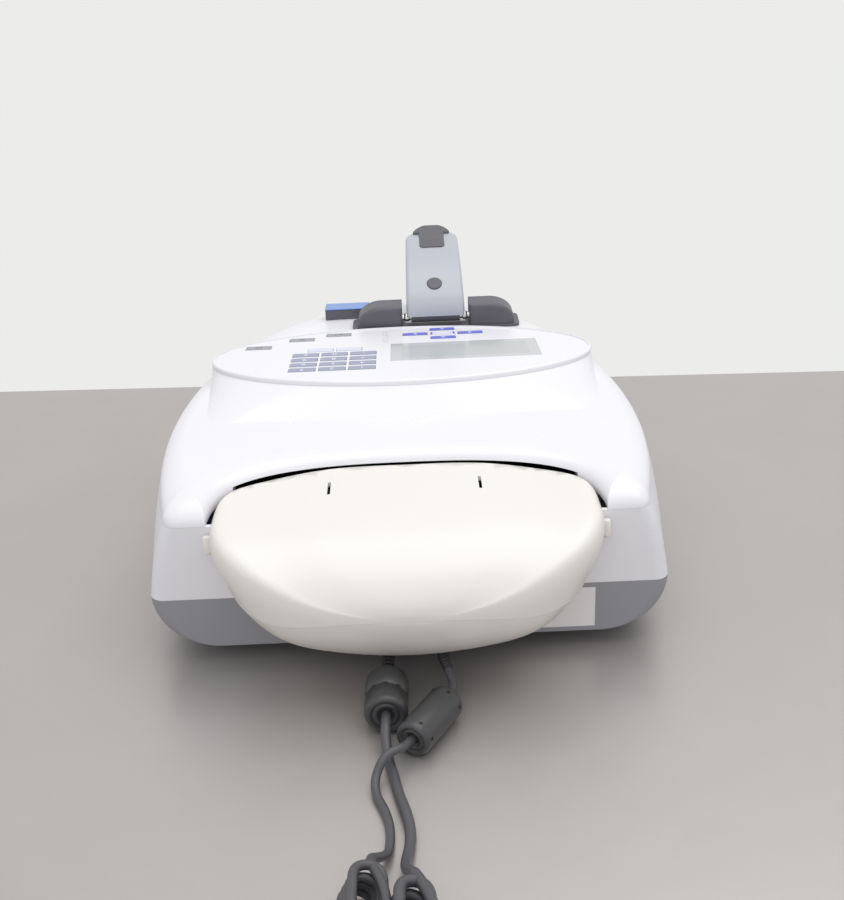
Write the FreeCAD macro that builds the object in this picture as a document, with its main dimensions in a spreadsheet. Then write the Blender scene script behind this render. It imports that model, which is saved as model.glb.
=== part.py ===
import FreeCAD, Part
import math
import os
import re
import Sketcher

# Microvolume spectrophotometer for the bench. Millimetres, +Z up. The user stands at -Y, the
# printer pod and the two leads are at +Y. The origin is under the middle of the case, on the bench.

Vec = FreeCAD.Vector
doc = FreeCAD.newDocument("Spectrophotometer")

# Driving dimensions: name, value, what it measures
SIZES = [
    ("case_half", 130.0, "half width of the case at its widest"),
    ("case_rear", 145.0, "rear face of the case"),
    ("case_nose", 195.0, "reach of the nose ahead of the origin"),
    ("nose_start", 50.0, "where the half-ellipse of the nose begins"),
    ("foot_height", 8.5, "clearance under the tray"),
    ("tray_top", 35.0, "parting plane of tray and lower case"),
    ("cover_base", 74.0, "parting plane of lower case and top cover"),
    ("deck_height", 84.6, "flat deck of the top cover"),
    ("case_wall", 2.5, "wall of the mouldings"),
    ("belly_draw", 26.0, "tray's sides draw in to the floor"),
    ("belly_nose_draw", 31.0, "tray's nose draws in to the floor"),
    ("shoulder_draw", 4.0, "lower case's sides draw in to the cover"),
    ("shoulder_nose_draw", 24.0, "lower case's nose draws in to the cover"),
    ("deck_side_draw", 12.0, "cover's sides roll in to the deck"),
    ("deck_rear_draw", 22.0, "cover's rear edge rolls in to the deck"),
    ("deck_nose_draw", 49.0, "cover's nose rolls in to the deck"),
    ("waist_low", 5.0, "sides draw in to the rear, at the tray"),
    ("waist_high", 11.0, "sides draw in to the rear, at the cover"),
    ("corner_round", 8.0, "rear corners in plan"),
    ("parting_gap", 0.1, "gap at a parting line"),
    ("seat_gap", 0.1, "gap where one piece rests on another"),
    ("console_half", 110.6, "half length of the oval console"),
    ("console_depth", 62.5, "half depth of the oval console"),
    ("console_y", -27.75, "middle of the console"),
    ("console_z", 94.0, "height of the console's middle"),
    ("console_tilt", 5.5, "slope of the console towards the user, degrees"),
    ("riser_rear", 50.0, "straight rear edge of the console's riser"),
    ("riser_half", 108.5, "half width of the riser at its rear corners"),
    ("riser_corner", 14.0, "rear corners of the riser"),
    ("riser_flare", 0.6, "riser's foot outside the oval"),
    ("fascia_thick", 3.0, "fascia with its rim"),
    ("rim_height", 0.8, "rim above the panel"),
    ("rim_width", 1.5, "width of the rim"),
    ("boss_radius", 2.0, "bosses under the fascia"),
    ("window_long", 86.4, "display window"),
    ("window_wide", 39.5, "display window"),
    ("window_thick", 1.2, "display window"),
    ("window_ledge", 2.0, "ledge that the window lies on"),
    ("window_gap", 0.1, "gap round the window"),
    ("window_x", -36.8, "middle of the window"),
    ("window_y", -1.2, "middle of the window on the panel"),
    ("display_long", 92.0, "display module"),
    ("display_wide", 46.0, "display module"),
    ("display_thick", 6.0, "display module"),
    ("key_long", 15.0, "key cap along the console"),
    ("key_wide", 7.5, "number key across the console"),
    ("arrow_wide", 6.2, "arrow key across the console"),
    ("key_gap", 0.25, "gap round a key cap"),
    ("key_flange", 0.6, "flange that holds a key in"),
    ("key_travel", 0.4, "travel of a key"),
    ("key_proud", 0.2, "key cap above the panel"),
    ("key_round", 1.2, "corners of a key cap"),
    ("board_thick", 1.6, "circuit boards"),
    ("hinge_x", -22.0, "middle of the arm"),
    ("hinge_y", -97.0, "hinge axis"),
    ("hinge_z", 91.5, "hinge axis"),
    ("pin_radius", 2.0, "hinge pin"),
    ("pin_bite", 8.0, "hinge pin in each cheek"),
    ("ball_radius", 2.7, "ball collars of the hinge pin"),
    ("ball_x", 18.3, "ball collars from the middle of the arm"),
    ("running_fit", 0.05, "radial clearance of turning parts"),
    ("hub_radius", 3.5, "knuckle of the arm"),
    ("hub_long", 30.6, "knuckle of the arm"),
    ("arm_half", 18.5, "half width of the arm at the hinge"),
    ("arm_taper", 1.3, "arm narrows to the tip on each side"),
    ("arm_corner", 8.5, "corners of the arm's tip"),
    ("arm_bow", 1.2, "bow of the arm's end between its corners"),
    ("arm_round", 2.5, "rounding along the arm's crown"),
    ("arm_reach", 73.6, "tip of the arm from the hinge"),
    ("arm_open", 32.0, "angle of the open arm, degrees"),
    ("arm_wall", 2.0, "wall of the arm cover"),
    ("arm_under", 6.0, "underside of the closed arm below the hinge axis"),
    ("chassis_thick", 1.9, "plate under the arm"),
    ("grip_half", 12.0, "half width of the grip's lip"),
    ("grip_round", 1.5, "corners of the grip's lip"),
    ("tongue_half", 8.1, "half width of the grip's tongue"),
    ("tongue_round", 2.5, "corners of the grip's tongue"),
    ("plug_radius", 4.8, "round plug on the arm"),
    ("plug_reach", 16.0, "round plug from the hinge"),
    ("cheek_inner", 21.2, "inner faces of the cheeks from the middle"),
    ("cheek_width", 28.5, "width of a cheek"),
    ("cheek_flat", 13.0, "flat top of a cheek"),
    ("cheek_height", 100.0, "top of the cheeks"),
    ("cheek_front", -110.0, "front of the cheeks"),
    ("cheek_rear", -91.5, "rear of the cheeks"),
    ("bridge_rim", 2.2, "flange round the foot of the cheeks"),
    ("bridge_top", 86.4, "saddle between the cheeks"),
    ("stage_y", -141.0, "middle of the sample stage"),
    ("stage_long", 36.0, "sample stage across the arm"),
    ("stage_wide", 27.0, "sample stage along the arm"),
    ("stage_top", 82.5, "top of the sample stage"),
    ("stage_base", 72.3, "underside of the sample stage"),
    ("stage_round", 4.0, "corners of the sample stage"),
    ("stage_gap", 0.3, "gap round the sample stage"),
    ("optic_radius", 3.5, "lower optic"),
    ("optic_reach", 45.0, "optics from the hinge"),
    ("optic_proud", 1.5, "lower optic above the stage"),
    ("optic_path", 0.5, "gap between the closed optics"),
    ("badge_x", 35.0, "middle of the badge block"),
    ("badge_y", -125.0, "middle of the badge block"),
    ("badge_long", 29.0, "badge block"),
    ("badge_wide", 13.0, "badge block"),
    ("badge_top", 90.8, "top of the badge block"),
    ("pod_half", 92.0, "half width of the pod"),
    ("pod_flat", 84.0, "half width of the pod's flat top"),
    ("pod_seam_half", 84.3, "half width of the pod at its seam"),
    ("pod_reach", 50.0, "reach of the pod behind the case"),
    ("pod_front", 96.0, "front of the pod cover on the deck"),
    ("pod_top", 78.6, "top of the pod"),
    ("pod_shoulder", 71.0, "where the pod's top corners end"),
    ("pod_seam", 49.0, "seam of pod base and pod cover"),
    ("pod_deep", 8.0, "lowest point of the pod's round underside, before its floor is cut"),
    ("pod_floor", 21.0, "flat underside of the pod"),
    ("pod_gap", 2.2, "paper gap round the pod cover"),
    ("brow_width", 7.0, "wall that turns down at the paper gap"),
    ("mouth_top", 79.0, "top of the paper mouth under that wall"),
    ("pod_wall", 2.5, "wall of the pod"),
    ("recess_x", -2.0, "middle of the recess over the plugs"),
    ("recess_long", 44.0, "recess over the plugs"),
    ("recess_wide", 32.0, "recess over the plugs"),
    ("recess_top", 25.0, "recess over the plugs"),
    ("roll_radius", 17.0, "paper roll"),
    ("roll_width", 57.0, "paper roll"),
    ("spindle_radius", 5.9, "paper spindles"),
    ("spindle_long", 5.0, "paper spindles"),
    ("roll_y", 167.0, "paper roll axis"),
    ("roll_z", 48.5, "paper roll axis"),
    ("roll_gap", 1.2, "gap between the roll and the frame"),
    ("frame_thick", 2.5, "side plates of the printer frame"),
    ("platen_radius", 5.0, "platen roller"),
    ("platen_y", 113.0, "platen axis"),
    ("platen_z", 66.0, "platen axis"),
    ("head_thick", 3.6, "print head"),
    ("foot_radius", 9.0, "rubber feet"),
    ("screw_radius", 1.5, "case screws"),
    ("screw_head", 2.9, "heads of the case screws"),
    ("screw_long", 44.0, "case screws"),
    ("post_radius", 4.5, "screw posts"),
    ("board_z", 20.0, "underside of the main board"),
    ("socket_z", 17.0, "power and USB sockets"),
    ("power_x", 11.0, "power socket"),
    ("usb_x", -14.0, "USB socket"),
    ("jack_radius", 5.2, "barrel of the power socket"),
    ("jack_bore", 2.85, "bore of the power socket"),
    ("jack_pin", 1.0, "centre pin of the power socket"),
    ("usb_wide", 12.0, "USB socket"),
    ("usb_high", 10.6, "USB socket"),
    ("usb_bore_wide", 8.7, "opening of the USB socket"),
    ("usb_bore_high", 8.0, "opening of the USB socket"),
    ("socket_deep", 14.0, "sockets behind the wall"),
    ("flange_thick", 1.2, "flanges of the sockets outside the wall"),
    ("plug_fit", 0.1, "gap between plug and socket"),
    ("power_lead", 4.5, "diameter of the power lead"),
    ("usb_lead", 3.8, "diameter of the USB lead"),
]

sheet = doc.addObject("Spreadsheet::Sheet", "Sizes")
size = {}
for row, (alias, value, meaning) in enumerate(SIZES, start=1):
    sheet.set("A%d" % row, meaning)
    sheet.set("B%d" % row, str(value))
    sheet.setAlias("B%d" % row, alias)
    size[alias] = value
doc.recompute()


class Dimensions:
    """The sheet's values by name, for shapes that Part's own functions make."""

    def __getattr__(self, alias):
        return size[alias]


mm = Dimensions()


def rule(text):
    """An expression on the sheet's names, ready for setExpression."""
    return re.sub(r"[a-z_][a-z0-9_]*",
                  lambda word: "Sizes." + word[0] if word[0] in size else word[0], str(text))


def number(text):
    """The present value of such an expression."""
    return float(sheet.evalExpression(rule(text)))


def bind(thing, **rules):
    for path, text in rules.items():
        thing.setExpression(path, rule(text))
    return thing


def put(thing, x=0, y=0, z=0):
    """Binds the place of a thing to the sheet."""
    for axis, text in (("x", x), ("y", y), ("z", z)):
        if str(text) != "0":
            thing.setExpression("Placement.Base." + axis, rule(text))
    return thing


def block(name, long, wide, high, x, y, z):
    """A box by its sizes, from the middle of its underside."""
    box = doc.addObject("Part::Box", name)
    bind(box, Length=long, Width=wide, Height=high)
    return put(box, "%s - (%s) / 2" % (x, long), "%s - (%s) / 2" % (y, wide), z)


TURNS = {
    "x": FreeCAD.Rotation(Vec(0, 1, 0), 90),
    "y": FreeCAD.Rotation(Vec(1, 0, 0), -90),
    "z": FreeCAD.Rotation(),
}


def rod(name, radius, long, x, y, z, axis="z"):
    """A cylinder that starts at a point and runs along an axis."""
    cylinder = doc.addObject("Part::Cylinder", name)
    bind(cylinder, Radius=radius, Height=long)
    cylinder.Placement.Rotation = TURNS[axis]
    return put(cylinder, x, y, z)


def solid(name, shape):
    """A shape from Part's own functions as an object of the document."""
    feature = doc.addObject("Part::Feature", name)
    feature.Shape = shape
    return feature


def joined(name, *parts):
    fuse = doc.addObject("Part::MultiFuse", name)
    fuse.Shapes = list(parts)
    fuse.Refine = True
    return fuse


def less(name, base, *tools):
    """The base with the tools cut away."""
    cut = doc.addObject("Part::Cut", name)
    cut.Base = base
    cut.Tool = tools[0] if len(tools) == 1 else joined(name + "_tools", *tools)
    cut.Refine = True
    return cut


def shared(name, first, second):
    common = doc.addObject("Part::Common", name)
    common.Base = first
    common.Tool = second
    return common


def softened(name, source, radius, chosen):
    """Rounds the edges of a source that the chooser names."""
    doc.recompute()
    fillet = doc.addObject("Part::Fillet", name)
    fillet.Base = source
    edges = source.Shape.Edges
    fillet.Edges = [(i, radius, radius) for i, edge in enumerate(edges, start=1) if chosen(edge)]
    return fillet


def along(axis):
    """Chooses the straight edges that run along an axis."""
    def chooser(edge):
        ends = [vertex.Point for vertex in edge.Vertexes]
        if len(ends) != 2 or edge.Curve.TypeId != "Part::GeomLine":
            return False
        step = ends[1] - ends[0]
        return abs(abs(step.dot(axis)) - step.Length) < 1e-6
    return chooser


def sketch(owner, name, role, points):
    """A closed outline on one of a body's planes, each corner bound to the sheet."""
    drawing = owner.newObject("Sketcher::SketchObject", name)
    plane = [part for part in owner.Origin.OriginFeatures if part.Role == role][0]
    drawing.AttachmentSupport = [(plane, "")]
    drawing.MapMode = "FlatFace"
    corners = [Vec(number(x), number(y), 0) for x, y in points]
    total = len(corners)
    for i in range(total):
        drawing.addGeometry(Part.LineSegment(corners[i], corners[(i + 1) % total]))
    for i in range(total):
        drawing.addConstraint(Sketcher.Constraint("Coincident", i, 2, (i + 1) % total, 1))
    for i, (x, y) in enumerate(points):
        across = drawing.addConstraint(Sketcher.Constraint("DistanceX", -1, 1, i, 1, corners[i].x))
        upward = drawing.addConstraint(Sketcher.Constraint("DistanceY", -1, 1, i, 1, corners[i].y))
        drawing.setExpression("Constraints[%d]" % across, rule(x))
        drawing.setExpression("Constraints[%d]" % upward, rule(y))
    return drawing


def turned(name, points):
    """A body of revolution about its own X axis, from an outline in X and Y."""
    owner = doc.addObject("PartDesign::Body", name)
    drawing = sketch(owner, name + "_outline", "XY_Plane", points)
    spin = owner.newObject("PartDesign::Revolution", name + "_turn")
    spin.Profile = drawing
    spin.ReferenceAxis = (drawing, ["H_Axis"])
    spin.Angle = 360
    return owner


def plate(name, points, thick, role="XY_Plane"):
    """A plate of a given outline, grown both ways from its plane."""
    owner = doc.addObject("PartDesign::Body", name)
    drawing = sketch(owner, name + "_outline", role, points)
    pad = owner.newObject("PartDesign::Pad", name + "_pad")
    pad.Profile = drawing
    bind(pad, Length=thick)
    pad.Midplane = True
    return owner


def oval(name, half, depth, thick, z):
    """An elliptical plate about the origin, from a height upwards."""
    curve = doc.addObject("Part::Ellipse", name + "_curve")
    bind(curve, MajorRadius=half, MinorRadius=depth)
    put(curve, 0, 0, z)
    pad = doc.addObject("Part::Extrusion", name)
    pad.Base = curve
    pad.DirMode = "Custom"
    pad.Dir = Vec(0, 0, 1)
    pad.Solid = True
    return bind(pad, LengthFwd=thick)


# Case outline in plan: straight rear, sides drawn in towards it and a half-ellipse nose
def mirrored(point):
    return Vec(-point.x, point.y, point.z)


def plan(z, half, rear, nose, waist, inset):
    """A closed wire at a height. Waist is how far the sides draw in at the rear corners."""
    half = half - inset
    rear = rear - inset
    nose = nose + inset
    corner = mm.corner_round
    start = mm.nose_start
    widest = Vec(half, start, z)
    side_mid = Vec(half - waist / 4, (start + rear - corner) / 2, z)
    side_end = Vec(half - waist, rear - corner, z)
    corner_mid = Vec(side_end.x - corner * 0.27, rear - corner * 0.27, z)
    rear_end = Vec(side_end.x - corner, rear, z)
    bow = Part.Ellipse(Vec(0, nose, z), widest, Vec(0, start, z))
    quarter = math.pi / 2
    return Part.Wire([
        Part.LineSegment(mirrored(rear_end), rear_end).toShape(),
        Part.Arc(rear_end, corner_mid, side_end).toShape(),
        Part.Arc(side_end, side_mid, widest).toShape(),
        Part.ArcOfEllipse(bow, 0, quarter).toShape(),
        Part.ArcOfEllipse(bow, 3 * quarter, 4 * quarter).toShape(),
        Part.Arc(mirrored(widest), mirrored(side_mid), mirrored(side_end)).toShape(),
        Part.Arc(mirrored(side_end), mirrored(corner_mid), mirrored(rear_end)).toShape(),
    ])


STEPS = 5


def tray_form(inset):
    """The belly of the case: its sides round in to the floor."""
    depth = mm.tray_top - mm.foot_height - inset
    rings = []
    for i in range(STEPS):
        angle = math.radians(90 * i / (STEPS - 1))
        draw = 1 - math.cos(angle)
        rings.append(plan(mm.tray_top - depth * math.sin(angle), mm.case_half - mm.belly_draw * draw,
                          mm.case_rear, mm.belly_nose_draw * draw - mm.case_nose, mm.waist_low, inset))
    return Part.makeLoft(rings, True)


def lower_form(inset):
    """The ring between the tray and the top cover."""
    low = mm.tray_top + mm.parting_gap
    high = mm.cover_base - mm.parting_gap
    rings = []
    for i in range(STEPS):
        rise = i / (STEPS - 1)
        rings.append(plan(low + (high - low) * rise, mm.case_half - mm.shoulder_draw * rise ** 3,
                          mm.case_rear, mm.shoulder_nose_draw * rise ** 2.6 - mm.case_nose,
                          mm.waist_low + (mm.waist_high - mm.waist_low) * rise, inset))
    return Part.makeLoft(rings, True)


def deck_form(inset):
    """The top cover's outer form: its edges roll in to the flat deck."""
    height = mm.deck_height - mm.cover_base - inset
    rings = []
    for i in range(STEPS):
        angle = math.radians(90 * i / (STEPS - 1))
        draw = 1 - math.cos(angle)
        rings.append(plan(mm.cover_base + height * math.sin(angle),
                          mm.case_half - mm.shoulder_draw - mm.deck_side_draw * draw,
                          mm.case_rear - mm.deck_rear_draw * draw,
                          mm.shoulder_nose_draw - mm.case_nose + mm.deck_nose_draw * draw,
                          mm.waist_high, inset))
    return Part.makeLoft(rings, True)


# Console frame: origin in the middle of the rim's top plane, y towards the rear, z out of the panel
console_place = FreeCAD.Placement(Vec(0, mm.console_y, mm.console_z),
                                  FreeCAD.Rotation(Vec(1, 0, 0), mm.console_tilt))


def on_console(thing):
    """Places a piece that was drawn in the console's own frame."""
    thing.Placement.Rotation = FreeCAD.Rotation(Vec(1, 0, 0), mm.console_tilt)
    bind_angle(thing, "console_tilt")
    return put(thing, 0, "console_y", "console_z")


def bind_angle(thing, text):
    thing.setExpression("Placement.Rotation.Angle", rule(text))


CORNER_FROM = math.radians(38)
CORNER_TO = math.radians(56)


def riser_form(inset, foot):
    """The flared wall between the oval console and its squarer foot on the deck."""
    half = mm.console_half - inset
    depth = mm.console_depth - inset
    edge = mm.riser_half - inset
    rear = mm.riser_rear - inset
    bend = mm.riser_corner
    wide = half + mm.riser_flare
    middle = Vec(0, mm.console_y, foot)
    oval_foot = Part.Ellipse(Vec(wide, mm.console_y, foot),
                             Vec(0, mm.console_y + depth + mm.riser_flare, foot), middle)
    side = Vec(wide, mm.console_y, foot)
    low = Vec(edge, rear - bend, foot)
    turn = Vec(edge - bend * 0.293, rear - bend * 0.293, foot)
    high = Vec(edge - bend, rear, foot)
    base = Part.Wire([
        Part.LineSegment(side, low).toShape(),
        Part.Arc(low, turn, high).toShape(),
        Part.LineSegment(high, mirrored(high)).toShape(),
        Part.Arc(mirrored(high), mirrored(turn), mirrored(low)).toShape(),
        Part.LineSegment(mirrored(low), mirrored(side)).toShape(),
        Part.ArcOfEllipse(oval_foot, math.pi, 1.5 * math.pi).toShape(),
        Part.ArcOfEllipse(oval_foot, 1.5 * math.pi, 2 * math.pi).toShape(),
    ])
    oval_top = Part.Ellipse(Vec(half, 0, -mm.fascia_thick), Vec(0, depth, -mm.fascia_thick),
                            Vec(0, 0, -mm.fascia_thick))
    stops = [0, CORNER_FROM, CORNER_TO, math.pi - CORNER_TO, math.pi - CORNER_FROM, math.pi,
             1.5 * math.pi, 2 * math.pi]
    top = Part.Wire([Part.ArcOfEllipse(oval_top, stops[i], stops[i + 1]).toShape()
                     for i in range(len(stops) - 1)])
    top.Placement = console_place
    return Part.makeLoft([base, top], True, True)


# Pod form: one outline in X and Z, carried back from the case and shrunk like a dome that is
# full in plan and lifts a little faster underneath
def pod_outline(y, inset, shrink):
    across = shrink ** 0.6
    half = (mm.pod_half - inset) * across
    flat = mm.pod_flat * across
    seam_half = (mm.pod_seam_half - inset) * across
    high = mm.pod_seam + (mm.pod_top - inset - mm.pod_seam) * shrink
    shoulder = mm.pod_seam + (mm.pod_shoulder - mm.pod_seam) * shrink
    deep = mm.pod_seam - (mm.pod_seam - mm.pod_deep - inset) * shrink ** 1.25
    seam = Vec(seam_half, y, mm.pod_seam)
    wide = Vec(half, y, shoulder)
    side_mid = Vec(seam_half + (half - seam_half) * 0.72, y, (shoulder + mm.pod_seam) / 2)
    top_end = Vec(flat * 0.93, y, high - (high - shoulder) * 0.06)
    corner_mid = Vec(flat + (half - flat) * 0.74, y, shoulder + (high - shoulder) * 0.72)
    right = [seam, side_mid, wide, corner_mid, top_end, Vec(flat * 0.5, y, high)]
    dome = Part.BSplineCurve()
    dome.interpolate(right + [Vec(0, y, high)] + [mirrored(point) for point in reversed(right)])
    return Part.Wire([dome.toShape(), Part.Arc(mirrored(seam), Vec(0, y, deep), seam).toShape()])


DOME_ANGLES = (0, 18, 36, 54, 70, 81, 86)


def pod_form(inset, start):
    rings = []
    for degrees in DOME_ANGLES:
        angle = math.radians(degrees)
        rings.append(pod_outline(start + (mm.case_rear + mm.pod_reach - inset - start) * math.sin(angle),
                                 inset, math.cos(angle)))
    return Part.makeLoft(rings, True)


def arch(grow, z):
    """The pod cover's front in plan: a closed curve, squarer than an ellipse, about the rear edge."""
    points = []
    for i in range(24):
        angle = math.tau * i / 24
        across = math.copysign(abs(math.cos(angle)) ** 0.77, math.cos(angle))
        back = math.copysign(abs(math.sin(angle)) ** 0.77, math.sin(angle))
        points.append(Vec(across * (mm.pod_half + grow),
                          mm.case_rear + back * (mm.case_rear - mm.pod_front + grow), z))
    curve = Part.BSplineCurve()
    curve.interpolate(points, True)
    return Part.Wire(curve.toShape())


def arc_prism(grow, low, high):
    """That outline as an upright prism."""
    return Part.Face(arch(grow, low)).extrude(Vec(0, 0, high - low))


def slab(low, high, rear=400.0):
    """A wide box between two heights, for trimming."""
    return Part.makeBox(800, rear + 400, high - low, Vec(-400, -400, low))


# Base tray
SCREWS = [(100, 85), (-100, 85), (40, -101), (-40, -101)]
FEET = [(82, 112), (-82, 112), (42, -112), (-42, -112)]
STANDOFFS = [(80, 110), (-80, 110), (80, -50), (-80, -50)]

tray_skin = solid("tray_skin", tray_form(0))
tray_hollow = solid("tray_hollow", tray_form(mm.case_wall))
tray_shell = less("tray_shell", tray_skin, tray_hollow)
tray_posts = [rod("tray_post_%d" % i, "post_radius", "tray_top - foot_height - case_wall / 2", x, y,
                  "foot_height + case_wall / 2") for i, (x, y) in enumerate(SCREWS)]
tray_standoffs = [rod("tray_standoff_%d" % i, "post_radius", "board_z - seat_gap - foot_height - case_wall / 2",
                      x, y, "foot_height + case_wall / 2") for i, (x, y) in enumerate(STANDOFFS)]
tray_body = joined("tray_body", tray_shell, *tray_posts, *tray_standoffs)
screw_bores = [rod("screw_bore_%d" % i, "screw_radius + running_fit", "tray_top", x, y, "foot_height - 1")
               for i, (x, y) in enumerate(SCREWS)]
head_bores = [rod("head_bore_%d" % i, "screw_head + running_fit", "case_wall + 2.1", x, y,
                  "foot_height - 0.1") for i, (x, y) in enumerate(SCREWS)]
jack_hole = rod("jack_hole", "jack_radius + running_fit", "case_wall * 2", "power_x",
                "case_rear - case_wall * 1.5", "socket_z", "y")
usb_hole = block("usb_hole", "usb_wide + 2 * running_fit", "case_wall * 2", "usb_high + 2 * running_fit",
                 "usb_x", "case_rear - case_wall / 2", "socket_z - usb_high / 2 - running_fit")
base_tray = less("base_tray", tray_body, jack_hole, usb_hole, *screw_bores, *head_bores)

# Lower case, open to the printer at its rear
ring_skin = solid("ring_skin", lower_form(0))
ring_hollow = solid("ring_hollow", lower_form(mm.case_wall))
pod_way = block("pod_way", "2 * (pod_seam_half - 13)", "case_wall * 3", "cover_base - pod_seam + 6",
                0, "case_rear - case_wall / 2", "pod_seam - 6 + 0.1")
lower_case = less("lower_case", ring_skin, ring_hollow, pod_way)


# Top cover with the console's riser in one moulding
def brow_form():
    """Tool for the arc in the cover's rear, flared so that the deck rolls down to the paper gap."""
    steps = ((0.0, 0.0), (0.62, 0.0), (0.8, 1.6), (0.92, 5.0), (1.0, 11.0), (1.08, 20.0))
    low = mm.cover_base - 6
    rings = [arch(mm.pod_gap + flare, low + (mm.deck_height - low) * share) for share, flare in steps]
    return Part.makeLoft(rings, True)


deck_skin = solid("deck_skin", deck_form(0))
riser_skin = solid("riser_skin", riser_form(0, mm.deck_height - 1))
deck_hollow = solid("deck_hollow", deck_form(mm.case_wall))
riser_hollow = solid("riser_hollow", riser_form(mm.case_wall, mm.deck_height - mm.case_wall - 1))
cover_skin = joined("cover_skin", deck_skin, riser_skin)
cover_shell = less("cover_shell", cover_skin, deck_hollow, riser_hollow)
cover_posts = [rod("cover_post_%d" % i, "post_radius", "deck_height - tray_top - parting_gap - case_wall / 2",
                   x, y, "tray_top + parting_gap") for i, (x, y) in enumerate(SCREWS)]
brow_form_band = deck_form(0).common(arc_prism(mm.pod_gap + mm.brow_width, mm.cover_base, mm.deck_height))
brow_band = solid("brow_band", brow_form_band.cut(Part.makeBox(
    2 * mm.pod_flat, 200, 20, Vec(-mm.pod_flat, 0, mm.mouth_top - 20))))
cover_body = joined("cover_body", cover_shell, brow_band, *cover_posts)
pilot_bores = [rod("pilot_bore_%d" % i, "screw_radius + running_fit",
                   "screw_long - tray_top + foot_height + case_wall + 4", x, y, "tray_top")
               for i, (x, y) in enumerate(SCREWS)]
stage_way = softened("stage_way", block("stage_way_block", "stage_long + 2 * stage_gap",
                                        "stage_wide + 2 * stage_gap", 40, "hinge_x", "stage_y",
                                        "stage_base"), mm.stage_round, along(Vec(0, 0, 1)))
pod_arc = solid("pod_arc", brow_form())
top_cover = less("top_cover", cover_body, stage_way, pod_arc, *pilot_bores)

# Console fascia, drawn in the console's frame
NUMBER_X = (22.5, 39.4, 56.3)
NUMBER_Y = (30.4, 19.6, 8.8, -2.0)
NUMBER_NAMES = ("1", "2", "3", "4", "5", "6", "7", "8", "9", "point", "0", "sign")
KEYS = []
for row, y in enumerate(NUMBER_Y):
    for column, x in enumerate(NUMBER_X):
        KEYS.append(("key_" + NUMBER_NAMES[3 * row + column], x, y, "key_wide"))
KEYS += [
    ("key_soft_left", 31.1, -12.8, "key_wide"),
    ("key_soft_right", 48.2, -12.8, "key_wide"),
    ("key_power", 86.1, -23.9, "key_wide"),
    ("key_escape", 61.2, -39.8, "key_wide"),
    ("key_enter", 39.0, -48.9, "key_wide"),
    ("key_arrow_left", -42.2, -42.0, "arrow_wide"),
    ("key_arrow_right", -8.3, -43.0, "arrow_wide"),
    ("key_arrow_up", -25.3, -32.2, "arrow_wide"),
    ("key_arrow_down", -25.3, -53.4, "arrow_wide"),
    ("key_select", -25.3, -42.8, "arrow_wide"),
]
BOSSES = [(84, 10), (72, -14), (8, -33), (-50, -31)]

fascia_plate = softened("fascia_plate", oval("fascia_blank", "console_half", "console_depth", "fascia_thick",
                                             "-fascia_thick"), 1.2, lambda edge: edge.BoundBox.ZMin > -0.1)
rim_pocket = oval("rim_pocket", "console_half - rim_width", "console_depth - rim_width",
                  "rim_height + 1", "-rim_height")
key_holes = [block("hole_for_" + name, "key_long + 2 * key_gap", wide + " + 2 * key_gap", "fascia_thick + 2",
                   x, y, "-fascia_thick - 1") for name, x, y, wide in KEYS]
window_seat = block("window_seat", "window_long + 2 * window_gap", "window_wide + 2 * window_gap",
                    "window_thick + seat_gap + 1", "window_x", "window_y",
                    "-rim_height - window_thick - seat_gap")
window_hole = block("window_hole", "window_long - 2 * window_ledge", "window_wide - 2 * window_ledge",
                    "fascia_thick + 2", "window_x", "window_y", "-fascia_thick - 1")
fascia_bosses = [rod("fascia_boss_%d" % i, "boss_radius", "key_travel + key_flange + 2 * seat_gap + 0.5",
                     x, y, "-fascia_thick - key_travel - key_flange - 2 * seat_gap")
                 for i, (x, y) in enumerate(BOSSES)]
fascia_body = joined("fascia_body", fascia_plate, *fascia_bosses)
console_fascia = on_console(less("console_fascia", fascia_body, rim_pocket, window_seat, window_hole,
                                 *key_holes))

display_window = on_console(softened("display_window", block(
    "window_block", "window_long", "window_wide", "window_thick", "window_x", "window_y",
    "-rim_height - window_thick"), 0.4, along(Vec(0, 0, 1))))

# Display module behind the window: a metal frame round a sunk glass
display_block = block("display_block", "display_long", "display_wide", "display_thick", "window_x",
                      "window_y", "-fascia_thick - seat_gap - display_thick")
display_sink = block("display_sink", "window_long - 2 * window_ledge - 1", "window_wide - 2 * window_ledge - 1",
                     "2", "window_x", "window_y", "-fascia_thick - seat_gap - 0.8")
lcd_module = on_console(less("lcd_module", display_block, display_sink))


# Keys: a cap through the fascia and a flange under it
def key(name, x, y, wide):
    cap = softened(name + "_cap", block(
        name + "_block", "key_long", wide, "fascia_thick - rim_height + key_proud + seat_gap", x, y,
        "-fascia_thick - seat_gap"), mm.key_round, along(Vec(0, 0, 1)))
    flange = block(name + "_flange", "key_long + 2 * key_flange", wide + " + 2 * key_flange", "key_flange",
                   x, y, "-fascia_thick - seat_gap - key_flange")
    return on_console(joined(name, cap, flange))


keys = [key(*row) for row in KEYS]

# Keypad board under the keys, cut round the display and trimmed to the oval
board_outline = [(12, -30), (-54, -30), (-54, "-console_depth"), (102, "-console_depth"), (102, 40), (12, 40)]
board_blank = plate("board_blank", board_outline, "board_thick")
put(board_blank, 0, 0, "-fascia_thick - key_flange - key_travel - 3 * seat_gap - board_thick / 2")
board_oval = oval("board_oval", "console_half - case_wall - 2", "console_depth - case_wall - 2", 10,
                  "-fascia_thick - 9")
keypad_board = on_console(shared("keypad_board", board_blank, board_oval))

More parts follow.
